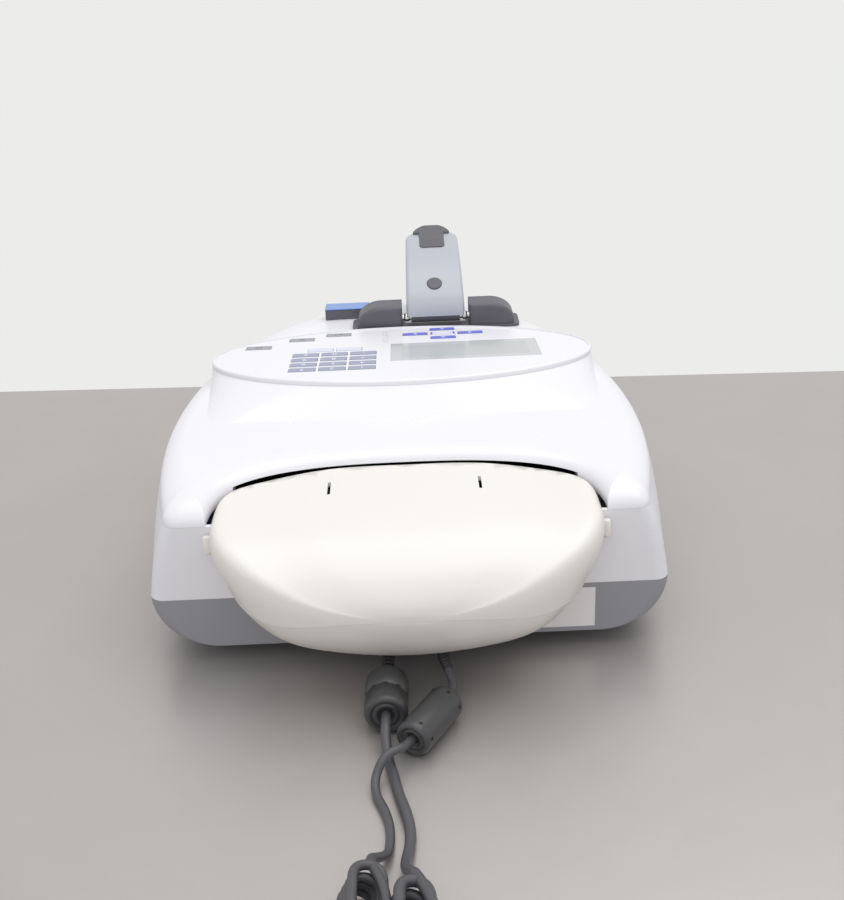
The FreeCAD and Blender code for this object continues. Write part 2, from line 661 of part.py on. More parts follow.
# Hinge bridge: two cheeks on a saddle that follows the deck
def cheek_form(side):
    """One cheek in front view: upright inside, a quarter-ellipse shoulder outside."""
    inner = mm.hinge_x + side * mm.cheek_inner
    flat_end = inner + side * mm.cheek_flat
    outer = inner + side * mm.cheek_width
    foot = mm.cover_base
    spring = mm.bridge_top + mm.bridge_rim
    y = mm.cheek_front
    shoulder = Part.Ellipse(Vec(outer, y, spring), Vec(flat_end, y, mm.cheek_height),
                            Vec(flat_end, y, spring))
    wire = Part.Wire([
        Part.LineSegment(Vec(inner, y, foot), Vec(inner, y, mm.cheek_height)).toShape(),
        Part.LineSegment(Vec(inner, y, mm.cheek_height), Vec(flat_end, y, mm.cheek_height)).toShape(),
        Part.ArcOfEllipse(shoulder, 0, math.pi / 2).toShape(),
        Part.LineSegment(Vec(outer, y, spring), Vec(outer, y, foot)).toShape(),
        Part.LineSegment(Vec(outer, y, foot), Vec(inner, y, foot)).toShape(),
    ])
    return Part.Face(wire).extrude(Vec(0, mm.cheek_rear - mm.cheek_front, 0))


def shoulder_edges(edge):
    box = edge.BoundBox
    return box.YLength < 1e-3 and box.ZMax > mm.cover_base + 1


deck_trim = solid("deck_trim", deck_form(-mm.seat_gap))
cheeks = [softened("cheek_%s_round" % name, solid("cheek_%s_block" % name, cheek_form(side)), 2.5,
                   shoulder_edges) for name, side in (("left", 1), ("right", -1))]
saddle = block("saddle", "2 * (cheek_inner + cheek_width + 1.5 * bridge_rim)",
               "cheek_rear - cheek_front + 2 * bridge_rim", "bridge_top - cover_base", "hinge_x",
               "(cheek_front + cheek_rear) / 2 - bridge_rim / 2", "cover_base")
saddle_round = softened("saddle_round", saddle, 5.0, along(Vec(0, 0, 1)))
bridge_body = joined("bridge_body", saddle_round, *cheeks)
pin_bore = rod("pin_bore", "pin_radius + running_fit", "2 * (cheek_inner + pin_bite + 0.2)",
               "hinge_x - cheek_inner - pin_bite - 0.2", "hinge_y", "hinge_z", "x")
heel_way = block("heel_way", "2 * arm_half + 2", 40, 20, "hinge_x", "hinge_y - 23.6", "cover_base")
hinge_bridge = less("hinge_bridge", bridge_body, deck_trim, pin_bore, heel_way)


# Hinge pin, turned with a ball collar beside each cheek
def pin_form():
    reach = mm.cheek_inner + mm.pin_bite
    step = math.sqrt(mm.ball_radius ** 2 - mm.pin_radius ** 2)
    heart = Vec(mm.hinge_x, mm.hinge_y, mm.hinge_z)
    edges = []
    start = heart + Vec(-reach, 0, mm.pin_radius)
    for x in (-mm.ball_x, mm.ball_x):
        enter = heart + Vec(x - step, 0, mm.pin_radius)
        leave = heart + Vec(x + step, 0, mm.pin_radius)
        edges.append(Part.LineSegment(start, enter).toShape())
        edges.append(Part.Arc(enter, heart + Vec(x, 0, mm.ball_radius), leave).toShape())
        start = leave
    ends = [start, heart + Vec(reach, 0, mm.pin_radius), heart + Vec(reach, 0, 0), heart + Vec(-reach, 0, 0),
            heart + Vec(-reach, 0, mm.pin_radius)]
    edges += [Part.LineSegment(ends[i], ends[i + 1]).toShape() for i in range(4)]
    form = Part.Face(Part.Wire(edges)).revolve(heart, Vec(1, 0, 0), 360)
    if form.Volume < 0:
        form.reverse()
    return form


hinge_pin = solid("hinge_pin", pin_form())


# Arm, drawn closed: origin on the hinge axis, -y towards the tip, and then opened about X
def on_arm(thing):
    thing.Placement.Rotation = FreeCAD.Rotation(Vec(1, 0, 0), -mm.arm_open)
    bind_angle(thing, "-arm_open")
    return put(thing, "hinge_x", "hinge_y", "hinge_z")


CROWN = ((-3.4, 3.9), (4.4, 10.8), (15.2, 12.9), (36.6, 11.3), (59.8, 5.1), (76.5, -1.2))
CEILING = ((7.6, 8.6), (15.4, 10.9), (36.2, 9.3), (58.9, 3.2), (63, 1.8))


def arm_side(crown_points, corners, half):
    """The arm in side view, as a prism across X. The crown is one spline from heel to tip."""
    crown = Part.BSplineCurve()
    crown.interpolate([Vec(-half, -reach, high) for reach, high in crown_points])
    ends = [crown_points[-1], *corners, crown_points[0]]
    ends = [Vec(-half, -reach, high) for reach, high in ends]
    edges = [crown.toShape()]
    edges += [Part.LineSegment(ends[i], ends[i + 1]).toShape() for i in range(len(ends) - 1)]
    return Part.Face(Part.Wire(edges)).extrude(Vec(2 * half, 0, 0))


def arm_plan(inset, low, high):
    """The arm from above: straight sides that turn in to a slightly bowed end."""
    half = mm.arm_half - inset
    narrow = half - mm.arm_taper
    tip = mm.arm_reach - inset
    corner = mm.arm_corner
    rear = Vec(half, 8, low)
    centre = Vec(narrow - corner, mm.arm_bow + corner - tip, low)
    side = centre + Vec(corner, 0, 0)
    turn = centre + Vec(corner * 0.707, -corner * 0.707, 0)
    front = centre + Vec(0, -corner, 0)
    wire = Part.Wire([
        Part.LineSegment(mirrored(rear), rear).toShape(),
        Part.LineSegment(rear, side).toShape(),
        Part.Arc(side, turn, front).toShape(),
        Part.Arc(front, Vec(0, -tip, low), mirrored(front)).toShape(),
        Part.Arc(mirrored(front), mirrored(turn), mirrored(side)).toShape(),
        Part.LineSegment(mirrored(side), mirrored(rear)).toShape(),
    ])
    return Part.Face(wire).extrude(Vec(0, 0, high - low))


def grip_plan(half, back, shoulder, tip, corner):
    """A tongue from above: rounded corners at its rear, and a bow at its front."""
    inner = half - corner
    side = Vec(half, -shoulder, -30)
    bend = Vec(half, -back - corner, -30)
    turn = Vec(inner + corner * 0.707, -back - corner * 0.293, -30)
    end = Vec(inner, -back, -30)
    wire = Part.Wire([
        Part.Arc(side, Vec(0, -tip, -30), mirrored(side)).toShape(),
        Part.LineSegment(mirrored(side), mirrored(bend)).toShape(),
        Part.Arc(mirrored(bend), mirrored(turn), mirrored(end)).toShape(),
        Part.LineSegment(mirrored(end), end).toShape(),
        Part.Arc(end, turn, bend).toShape(),
        Part.LineSegment(bend, side).toShape(),
    ])
    return Part.Face(wire).extrude(Vec(0, 0, 60))


def grip_form(grow):
    """Lip past the tip with a tongue that lies in the cover's crown."""
    reach = mm.arm_reach
    lip = [(reach - 5, 2.0), (reach - 4, 3.0), (reach + 2, 3.2), (reach + 2.8, 2.4), (reach + 2.8, 1),
           (reach + 0.6, -2.6), (reach - 5, -3.0)]
    tongue = [(reach - 22, 8.4), (reach - 12, 4.4), (reach - 2, 3.2), (reach - 2, -2), (reach - 12, 0.6),
              (reach - 22, 4.6)]
    plans = ((mm.grip_half, lip, (reach - 5, reach - 3.4, reach + 2.8, mm.grip_round)),
             (mm.tongue_half, tongue, (reach - 22, reach - 3, reach - 1, mm.tongue_round)))
    shapes = []
    for half, points, (back, shoulder, tip, corner) in plans:
        wire = Part.makePolygon([Vec(-half - grow, -r, h) for r, h in points + points[:1]])
        if grow > 0:
            wire = wire.makeOffset2D(grow)
        side_form = Part.Face(wire).extrude(Vec(2 * (half + grow), 0, 0))
        shapes.append(side_form.common(grip_plan(half + grow, back - grow, shoulder, tip + grow, corner)))
    return shapes[0].fuse(shapes[1]).removeSplitter()


def crown_edges(form):
    return [edge for edge in form.Edges if edge.Curve.TypeId == "Part::GeomBSplineCurve"]


arm_floor = mm.chassis_thick + 0.1 - mm.arm_under
arm_heel = mm.hub_radius + 1.6
arm_outer = arm_side(CROWN, [(CROWN[-1][0], arm_floor), (arm_heel, arm_floor), (mm.hub_radius + 0.2, 3.3)],
                     mm.arm_half + 1).common(arm_plan(0, -20, 30))
arm_outer = arm_outer.makeFillet(mm.arm_round, crown_edges(arm_outer))
arm_inner = arm_side(CEILING, [(CEILING[-1][0], arm_floor - 3), (CEILING[0][0], arm_floor - 3)],
                     mm.arm_half - mm.arm_wall - mm.arm_taper)
arm_skin = solid("arm_skin", arm_outer)
arm_hollow = solid("arm_hollow", arm_inner)
grip_way = solid("grip_way", grip_form(0.1))
heel_notch = block("heel_notch", "hub_long + 0.6", 12, 8, 0, -6, "-arm_under - 2.3")
plug_hole = rod("plug_hole", "plug_radius + running_fit", 20, 0, "-plug_reach", 4)
arm_cover = on_arm(less("arm_cover", arm_skin, arm_hollow, grip_way, heel_notch, plug_hole))
arm_grip = on_arm(solid("arm_grip", grip_form(0)))
plug_body = rod("plug_body", "plug_radius", 7.2, 0, "-plug_reach", 6.4)
arm_plug = on_arm(softened("arm_plug", plug_body, 0.8, lambda edge: edge.BoundBox.ZMin > 13))

chassis_plate = solid("chassis_plate", arm_plan(0.4, -mm.arm_under, mm.chassis_thick - mm.arm_under).cut(
    Part.makeBox(100, 40, 20, Vec(-50, -mm.hub_radius - 1.6, -10))))
chassis_hub = rod("chassis_hub", "hub_radius", "hub_long", "-hub_long / 2", 0, 0, "x")
chassis_web = block("chassis_web", "hub_long", "hub_radius + 8", "chassis_thick + 2.5", 0,
                    "-(hub_radius + 8) / 2", "-arm_under + 1.2")
chassis_bore = rod("chassis_bore", "pin_radius + running_fit", 60, -30, 0, 0, "x")
optic_way = rod("optic_way", "optic_radius + 1 + running_fit", 20, 0, "-optic_reach", -15)
arm_chassis = on_arm(less("arm_chassis", joined("chassis_body", chassis_plate, chassis_hub, chassis_web),
                          chassis_bore, optic_way))
optic_barrel = rod("optic_barrel", "optic_radius + 1",
                   "hinge_z - stage_top - optic_proud - optic_path + 2", 0, "-optic_reach",
                   "stage_top + optic_proud + optic_path - hinge_z")
optic_collar = rod("optic_collar", "optic_radius + 2.5", 2, 0, "-optic_reach",
                   "chassis_thick + seat_gap - arm_under")
upper_optic = on_arm(joined("upper_optic", optic_barrel, optic_collar))

# Sample stage in the nose, with the lower optic through it
stage_block = softened("stage_block", block("stage_blank", "stage_long", "stage_wide",
                                            "stage_top - stage_base", "hinge_x", "stage_y", "stage_base"),
                       mm.stage_round, along(Vec(0, 0, 1)))
optic_bore = rod("optic_bore", "optic_radius + running_fit", 60, "hinge_x", "hinge_y - optic_reach", 40)
sample_stage = less("sample_stage", stage_block, optic_bore)
lower_optic = rod("lower_optic", "optic_radius", "stage_top + optic_proud - stage_base", "hinge_x",
                  "hinge_y - optic_reach", "stage_base")

# Spectrometer under the stage, with its lamp housing on the side
bench = block("bench", 60, 35, "stage_base - seat_gap - 24", "hinge_x", -124.5, 24)
bench_foot = block("bench_foot", 50, 26, 14, "hinge_x", -121, "foot_height + case_wall + seat_gap")
lamp = rod("lamp", 12, 34, "hinge_x + 28", -120, 42, "x")
lamp_cap = rod("lamp_cap", 9, 6, "hinge_x + 60", -120, 42, "x")
spectrometer_module = joined("spectrometer_module", bench, bench_foot, lamp, lamp_cap)

# Badge block on the deck
badge_blank = softened("badge_blank", block("badge_box", "badge_long", "badge_wide", "badge_top - cover_base",
                                            "badge_x", "badge_y", "cover_base"), 2.0, along(Vec(0, 0, 1)))
badge_block = less("badge_block", badge_blank, deck_trim)

# Main board on the tray's standoffs, with its larger components
board_plate = block("board_plate", 180, 190, "board_thick", 0, 28, "board_z")
CHIPS = [(-40, 60, 28, 28, 3), (20, 50, 14, 20, 2.5), (50, -10, 20, 20, 2.5), (-50, -20, 36, 12, 9),
         (60, 90, 22, 30, 14), (10, 100, 30, 8, 10)]
chips = [block("chip_%d" % i, wide, deep, "%s + 0.2" % high, x, y, "board_z + board_thick - 0.2")
         for i, (x, y, wide, deep, high) in enumerate(CHIPS)]
main_board = joined("main_board", board_plate, *chips)

# Rubber feet
feet = joined("feet", *[rod("foot_%d" % i, "foot_radius", "foot_height - seat_gap", x, y, 0)
                        for i, (x, y) in enumerate(FEET)])

# Case screws from below, through the tray's posts into the cover's
screws = []
for i, (x, y) in enumerate(SCREWS):
    head = rod("screw_head_%d" % i, "screw_head", 2, x, y, "foot_height")
    shank = rod("screw_shank_%d" % i, "screw_radius", "screw_long", x, y, "foot_height + 1")
    screws += [head, shank]
case_screws = joined("case_screws", *screws)

# Power and USB sockets in the tray's rear wall
jack_body = rod("jack_body", "jack_radius", "socket_deep + case_wall", "power_x",
                "case_rear - case_wall - socket_deep + 1", "socket_z", "y")
jack_flange = rod("jack_flange", "jack_radius + 1.3", "flange_thick", "power_x", "case_rear + seat_gap",
                  "socket_z", "y")
jack_bore = rod("jack_bore_tool", "jack_bore", "socket_deep", "power_x", "case_rear - 10.5", "socket_z", "y")
jack_pin = rod("jack_pin_tool", "jack_pin", 9, "power_x", "case_rear - 11", "socket_z", "y")
power_socket = joined("power_socket", less("jack_shell", joined("jack_outer", jack_body, jack_flange),
                                           jack_bore), jack_pin)
usb_body = block("usb_body", "usb_wide", "socket_deep + case_wall", "usb_high", "usb_x",
                 "case_rear + 1 - (case_wall + socket_deep) / 2", "socket_z - usb_high / 2")
usb_flange = block("usb_flange", "usb_wide + 2.4", "flange_thick", "usb_high + 2.2", "usb_x",
                   "case_rear + seat_gap + flange_thick / 2", "socket_z - usb_high / 2 - 1.1")
usb_bore = block("usb_bore", "usb_bore_wide", "socket_deep", "usb_bore_high", "usb_x",
                 "case_rear - 10.5 + socket_deep / 2", "socket_z - usb_bore_high / 2")
usb_tongue = block("usb_tongue", 5.6, 9, 3.2, "usb_x", "case_rear - 6.5", "socket_z - 1.6")
usb_socket = joined("usb_socket", less("usb_shell", joined("usb_outer", usb_body, usb_flange), usb_bore),
                    usb_tongue)

# Pod base: the lower bowl, with a recess over the plugs
pod_start = mm.case_rear + mm.seat_gap
bowl_skin = pod_form(0, pod_start).common(slab(mm.pod_floor, mm.pod_seam - mm.parting_gap))
bowl_hollow = pod_form(mm.pod_wall, pod_start + mm.pod_wall).common(slab(mm.pod_floor + mm.pod_wall, 100))
recess_high = mm.recess_top - mm.pod_floor + mm.pod_wall
recess_wall = Part.makeBox(mm.recess_long + 2 * mm.pod_wall, mm.recess_wide + mm.pod_wall, recess_high,
                           Vec(mm.recess_x - mm.recess_long / 2 - mm.pod_wall, pod_start, mm.pod_floor))
recess = Part.makeBox(mm.recess_long, mm.recess_wide + 1, mm.recess_top - mm.pod_floor + 1,
                      Vec(mm.recess_x - mm.recess_long / 2, pod_start - 1, mm.pod_floor - 1))
bowl = bowl_skin.cut(bowl_hollow).fuse(recess_wall.common(pod_form(0, pod_start)))
frame_way = Part.makeBox(80, 4, 10, Vec(-40, pod_start - 1, mm.pod_seam - 7))
pod_base = solid("pod_base", bowl.cut(recess).cut(frame_way).removeSplitter())

# Pod cover: the upper dome with a flat part that reaches over the case to the paper gap
cover_low = mm.cover_base + 0.2


def cover_form(inset):
    dome = pod_form(inset, pod_start).common(slab(mm.pod_seam, 200))
    front = Part.Face(pod_outline(pod_start, inset, 1)).extrude(Vec(0, -100, 0))
    front = front.common(arc_prism(-inset, cover_low, 200))
    return dome.fuse(front)


pod_lid = cover_form(0).cut(cover_form(mm.pod_wall))
pod_lid = pod_lid.cut(Part.makeBox(2 * mm.pod_flat, 20, 20, Vec(-mm.pod_flat, mm.case_rear - 12,
                                                              mm.pod_top - 24.6)))
guide_slots = [block("guide_slot_%d" % i, 1.5, 13, 12, x, 119.5, "pod_top - 8")
               for i, x in enumerate((-36, 37))]
side_tabs = [block("side_tab_%d" % i, 3.4, 4, 8, "%d * (pod_half + 0.9)" % side, "case_rear + 3", 62.5)
             for i, side in enumerate((-1, 1))]
pod_cover = less("pod_cover", joined("pod_cover_body", solid("pod_lid", pod_lid), *side_tabs), *guide_slots)

# Printer frame: two side plates, a floor and the print head in front of the platen
frame_outline = [("roll_y - 14", "recess_top + pod_wall + seat_gap"),
                 ("roll_y + 8", "recess_top + pod_wall + seat_gap"), ("roll_y + 14", "roll_z - 13"),
                 ("roll_y + 14", "roll_z + 4"), ("roll_y - 3", "roll_z + 13.5"), ("platen_y + 7", "platen_z + 7"),
                 ("platen_y - 5.3 - head_thick", "platen_z + 7"), ("platen_y - 5.3 - head_thick", "platen_z - 7"),
                 ("platen_y + 25", "platen_z - 18"), ("roll_y - 14", "roll_z - 4.5")]
frame_sides = []
for i, side in enumerate((-1, 1)):
    cheek = plate("frame_side_%d" % i, frame_outline, "frame_thick", "YZ_Plane")
    put(cheek, "%d * (roll_width / 2 + roll_gap + frame_thick / 2)" % side)
    frame_sides.append(cheek)
frame_floor = block("frame_floor", "roll_width + 2 * roll_gap + 1", 21, 1.6, 0, "roll_y - 3",
                    "recess_top + pod_wall + seat_gap")
print_head = block("print_head", "roll_width + 2 * roll_gap + 1", "head_thick", 13, 0,
                   "platen_y - 5.3 - head_thick / 2", "platen_z - 6.5")
spindles = [rod("spindle_%d" % i, "spindle_radius", "spindle_long + 0.5",
                "%s" % start, "roll_y", "roll_z", "x")
            for i, start in enumerate(("-roll_width / 2 - roll_gap - 0.5",
                                       "roll_width / 2 + roll_gap - spindle_long"))]
platen_bore = rod("platen_bore", "pin_radius + running_fit", "roll_width + 30", "-roll_width / 2 - 15",
                  "platen_y", "platen_z", "x")
printer_frame = less("printer_frame", joined("frame_body", *frame_sides, frame_floor, print_head, *spindles),
                     platen_bore)

platen_roller = put(turned("platen_roller", [
    ("-roll_width / 2 - roll_gap - frame_thick", 0), ("roll_width / 2 + roll_gap + frame_thick", 0),
    ("roll_width / 2 + roll_gap + frame_thick", "pin_radius"), ("roll_width / 2 - 1", "pin_radius"),
    ("roll_width / 2 - 1", "platen_radius"), ("1 - roll_width / 2", "platen_radius"),
    ("1 - roll_width / 2", "pin_radius"), ("-roll_width / 2 - roll_gap - frame_thick", "pin_radius"),
]), 0, "platen_y", "platen_z")
paper_roll = put(turned("paper_roll", [
    ("-roll_width / 2", "spindle_radius + running_fit"), ("roll_width / 2", "spindle_radius + running_fit"),
    ("roll_width / 2", "roll_radius"), ("-roll_width / 2", "roll_radius"),
]), 0, "roll_y", "roll_z")


# Leads: straight runs joined by tangent arcs, chosen by hand
def lead_path(points):
    """The path of a lead, and the radius of each of its bends."""
    edges = []
    radii = []
    start = points[0]
    for before, corner, after in zip(points, points[1:], points[2:]):
        arriving = corner - before
        leaving = after - corner
        turn = arriving.getAngle(leaving)
        shorter = min(arriving.Length, leaving.Length)
        radius = 0.45 * shorter / math.tan(turn / 2)
        radii.append(radius)
        back = Vec(arriving).normalize()
        ahead = Vec(leaving).normalize()
        enter = corner - back * (0.45 * shorter)
        leave = corner + ahead * (0.45 * shorter)
        inward = (ahead - back).normalize()
        middle = corner + inward * (radius / math.cos(turn / 2) - radius)
        edges.append(Part.LineSegment(start, enter).toShape())
        edges.append(Part.Arc(enter, middle, leave).toShape())
        start = leave
    edges.append(Part.LineSegment(start, points[-1]).toShape())
    return Part.Wire(edges), radii


def lead(name, points, diameter):
    path, radii = lead_path([Vec(*point) for point in points])
    along_path = Vec(*points[1]) - Vec(*points[0])
    ring = Part.Wire(Part.makeCircle(diameter / 2, Vec(*points[0]), along_path))
    tube = path.makePipeShell([ring], True, False)
    exact = math.pi * diameter ** 2 / 4 * path.Length
    print(name, "length %.0f" % path.Length, "volume over section times length %.4f" % (tube.Volume / exact),
          "tightest bends", sorted(round(radius, 1) for radius in radii)[:4])
    return solid(name, tube)


FERRITE_LEG = 3


def ferrite(name, radius, long, bore, route, ahead):
    """A ferrite sleeve round the long straight run of a lead."""
    sleeve = turned(name, [(0, bore), (long, bore), (long, "%s - 1.2" % radius), ("%s - 1.2" % long, radius),
                           (1.2, radius), (0, "%s - 1.2" % radius)])
    start = Vec(*route[FERRITE_LEG])
    way = (Vec(*route[FERRITE_LEG + 1]) - start).normalize()
    sleeve.Placement = FreeCAD.Placement(start + way * ahead, FreeCAD.Rotation(Vec(1, 0, 0), way))
    return sleeve


POWER_ROUTE = [(11, 158.7, 17), (11, 163.4, 17), (11.3, 171, 12.6), (11.9, 178.6, 9.9), (12.5, 213.3, 9.9),
               (12.8, 220.5, 6.2), (11.6, 230, 2.5), (9.2, 241, 2.3), (7.4, 252, 2.4), (4.6, 263, 3.4),
               (2.6, 274, 2.5), (3.2, 284, 2.4), (4.8, 293, 4), (4.6, 301, 8), (2.6, 308.5, 13.4),
               (0.8, 314.6, 18.2)]
USB_ROUTE = [(-14, 168.7, 17), (-14, 174.2, 17), (-16.6, 181.5, 12.9), (-19.2, 190.6, 8.4),
             (3.2, 228.2, 8.4), (7.2, 232.6, 10.4), (13.4, 236.6, 9.6), (17.4, 243.6, 4), (16.8, 252, 2.1),
             (13.2, 260.5, 2), (11, 270, 2), (10.8, 279.5, 2), (11.6, 287.5, 3), (14.6, 293.5, 7), (19.2, 301, 14)]

power_cord = lead("power_cord", POWER_ROUTE, mm.power_lead)
usb_cord = lead("usb_cord", USB_ROUTE, mm.usb_lead)
power_ferrite = ferrite("power_ferrite", "9.8", "27", "power_lead / 2 + running_fit", POWER_ROUTE, 3.85)
usb_ferrite = ferrite("usb_ferrite", "8.3", "33", "usb_lead / 2 + running_fit", USB_ROUTE, 7.7)

# Plugs in the two sockets
LEAVES_REAR = FreeCAD.Rotation(Vec(1, 0, 0), Vec(0, 1, 0))
power_plug = turned("power_plug", [
    (-9.5, "jack_pin + plug_fit"), (-0.5, "jack_pin + plug_fit"), (-0.5, 0), (12.2, 0), (12.2, 2.7),
    (9, 4), (8, 5), (0, 5), (0, "jack_bore - plug_fit"), (-9.5, "jack_bore - plug_fit")])
power_plug.Placement.Rotation = LEAVES_REAR
put(power_plug, "power_x", "case_rear + flange_thick + 2 * seat_gap", "socket_z")

plug_face = "case_rear + flange_thick + 2 * seat_gap"
usb_grip = softened("usb_grip", block("usb_grip_block", 12.4, 15, 11.4, "usb_x", plug_face + " + 7.5",
                                      "socket_z - 5.7"), 1.5, along(Vec(0, 1, 0)))
usb_relief = rod("usb_relief", 2.8, 7, "usb_x", plug_face + " + 15", "socket_z", "y")
usb_shell_block = block("usb_shell_block", "usb_bore_wide - 2 * plug_fit", 9.2, "usb_bore_high - 2 * plug_fit",
                        "usb_x", plug_face + " - 4.4", "socket_z - usb_bore_high / 2 + plug_fit")
usb_mouth = block("usb_mouth", 6, 9, 3.6, "usb_x", plug_face + " - 5.1", "socket_z - 1.8")
usb_plug = less("usb_plug", joined("usb_plug_body", usb_grip, usb_relief, usb_shell_block), usb_mouth)

# Hanks: the unseen lengths, folded side by side behind the instrument
HANK_REAR = 398.0
POWER_HANK = (3.7, 316.0, 17.0, 22.9)
USB_HANK = (20.7, 303.5, 16.4, 19.4)


def hank(name, x, front, wide, high):
    bend = wide / 2
    corners = [Vec(x - bend, front + bend, 0), Vec(x, front, 0), Vec(x + bend, front + bend, 0),
               Vec(x + bend, HANK_REAR - bend, 0), Vec(x, HANK_REAR, 0), Vec(x - bend, HANK_REAR - bend, 0)]
    outline = Part.Wire([
        Part.Arc(*corners[:3]).toShape(), Part.LineSegment(corners[2], corners[3]).toShape(),
        Part.Arc(*corners[3:]).toShape(), Part.LineSegment(corners[5], corners[0]).toShape()])
    block_form = Part.Face(outline).extrude(Vec(0, 0, high))
    edges = [edge for edge in block_form.Edges if edge.BoundBox.ZLength < 1e-6]
    return solid(name, block_form.makeFillet(2.2, edges))


power_hank = hank("power_hank", *POWER_HANK)
usb_hank = hank("usb_hank", *USB_HANK)

# Far ends: an in-line power connector and a flat USB plug, each at the end of its hank
power_connector = turned("power_connector", [(0, 0), (0, 2.6), (8, 4.4), (10, 5.4), (34, 5.4), (34, 2.75), (43, 2.75),
                                             (43, 1.2), (35, 1.2), (35, 0)])
power_connector.Placement = FreeCAD.Placement(Vec(POWER_HANK[0], HANK_REAR + 0.2, 5.4), LEAVES_REAR)
far_face = HANK_REAR + 0.2
far_grip = block("far_grip", 15.6, 26, 8, USB_HANK[0], far_face + 13, 0)
far_shell = block("far_shell", 12, 13, 4.5, USB_HANK[0], far_face + 26 + 6, 1.75)
far_mouth = block("far_mouth", 11.2, 10, 1.8, USB_HANK[0], far_face + 26 + 8, 3.8)
usb_connector = less("usb_connector", joined("usb_connector_body", softened(
    "far_grip_round", far_grip, 1.5, along(Vec(0, 1, 0))), far_shell), far_mouth)

NODES = [
    base_tray, lower_case, top_cover, console_fascia, display_window, lcd_module, keypad_board, *keys,
    hinge_bridge, hinge_pin, arm_cover, arm_chassis, arm_grip, arm_plug, upper_optic, sample_stage, lower_optic,
    spectrometer_module, badge_block, main_board, feet, case_screws, power_socket, usb_socket, pod_base, pod_cover,
    printer_frame, platen_roller, paper_roll, power_cord, usb_cord, power_ferrite, usb_ferrite, power_plug,
    usb_plug, power_hank, usb_hank, power_connector, usb_connector,
]

doc.recompute()
failed = [thing.Name for thing in doc.Objects if "Invalid" in thing.State or "Error" in thing.State]
if failed:
    raise RuntimeError("failed: " + ", ".join(failed))
os.makedirs("parts", exist_ok=True)
for node in NODES:
    node.Label = node.Name
    if node.Shape.isNull() or not node.Shape.isValid() or not node.Shape.Solids:
        raise RuntimeError("%s has no valid solid" % node.Label)
    node.Shape.exportStep("parts/%s.step" % node.Label)
print(len(NODES), "nodes written")
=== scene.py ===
import math

import bmesh
import bpy
from mathutils import Matrix, Vector


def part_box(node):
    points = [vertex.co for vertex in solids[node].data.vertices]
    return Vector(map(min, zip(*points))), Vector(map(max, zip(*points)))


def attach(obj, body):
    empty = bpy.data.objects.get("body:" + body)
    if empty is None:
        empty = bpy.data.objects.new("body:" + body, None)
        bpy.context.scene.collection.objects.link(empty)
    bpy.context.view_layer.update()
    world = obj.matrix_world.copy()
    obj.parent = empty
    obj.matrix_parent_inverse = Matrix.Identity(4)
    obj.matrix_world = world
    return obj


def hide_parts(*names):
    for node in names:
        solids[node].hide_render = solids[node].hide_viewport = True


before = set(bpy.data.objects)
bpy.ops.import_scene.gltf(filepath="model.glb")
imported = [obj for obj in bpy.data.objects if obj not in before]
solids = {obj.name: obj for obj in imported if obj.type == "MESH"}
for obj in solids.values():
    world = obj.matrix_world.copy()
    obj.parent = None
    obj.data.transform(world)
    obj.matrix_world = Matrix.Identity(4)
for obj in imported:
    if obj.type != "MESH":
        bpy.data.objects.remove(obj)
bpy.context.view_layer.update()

root = bpy.context.scene.collection
MM = 0.001


# Base tray. The grey lower half of the case is one deep moulding in matt ABS with a fine spark-eroded
# grain. It carries the case on its rim and stands on four feet, and a blank white rating sticker is
# stuck to its back wall.
class Shade:
    """A socket in a material's tree, so that finishes are written as sums and products."""

    def __init__(self, tree, socket=None):
        self.tree = tree
        self.socket = socket

    def node(self, kind, settings=None, values=None, output=0):
        """Adds a node: its settings first, then each input's number, colour or link."""
        made = self.tree.nodes.new(kind)
        for setting, value in (settings or {}).items():
            setattr(made, setting, value)
        for key, value in (values or {}).items():
            if isinstance(value, Shade):
                self.tree.links.new(value.socket, made.inputs[key])
            else:
                made.inputs[key].default_value = value
        return Shade(self.tree, made.outputs[output] if made.outputs else None)

    def sum(self, operation, first, second):
        return self.node("ShaderNodeMath", {"operation": operation}, {0: first, 1: second})

    def __add__(self, other):
        return self.sum("ADD", self, other)

    def __sub__(self, other):
        return self.sum("SUBTRACT", self, other)

    def __mul__(self, other):
        return self.sum("MULTIPLY", self, other)

    def __gt__(self, other):
        return self.sum("GREATER_THAN", self, other)

    def __lt__(self, other):
        return self.sum("LESS_THAN", self, other)

    def through(self, operation):
        """This value put through a one-sided operation, such as SINE or ABSOLUTE."""
        return self.node("ShaderNodeMath", {"operation": operation}, {0: self})

    def split(self):
        """A place's distance along X, Y and Z."""
        parts = self.node("ShaderNodeSeparateXYZ", None, {0: self})
        return [Shade(self.tree, parts.socket.node.outputs[axis]) for axis in range(3)]

    def blend(self, lower, upper):
        """This mask's mix of two colours."""
        return self.node("ShaderNodeMix", {"data_type": "RGBA"}, {0: self, 6: lower, 7: upper}, 2)


def paint(red, green, blue):
    """A colour card's 8-bit values as the light they stand for."""
    def light(value):
        share = value / 255
        return share / 12.92 if share <= 0.04045 else ((share + 0.055) / 1.055) ** 2.4

    return (light(red), light(green), light(blue), 1.0)


def deeper(colour, share):
    return tuple(value * share for value in colour[:3]) + (1.0,)


def new_finish(name):
    finish = bpy.data.materials.new(name)
    finish.use_nodes = True
    finish.node_tree.nodes.clear()
    return finish, Shade(finish.node_tree)


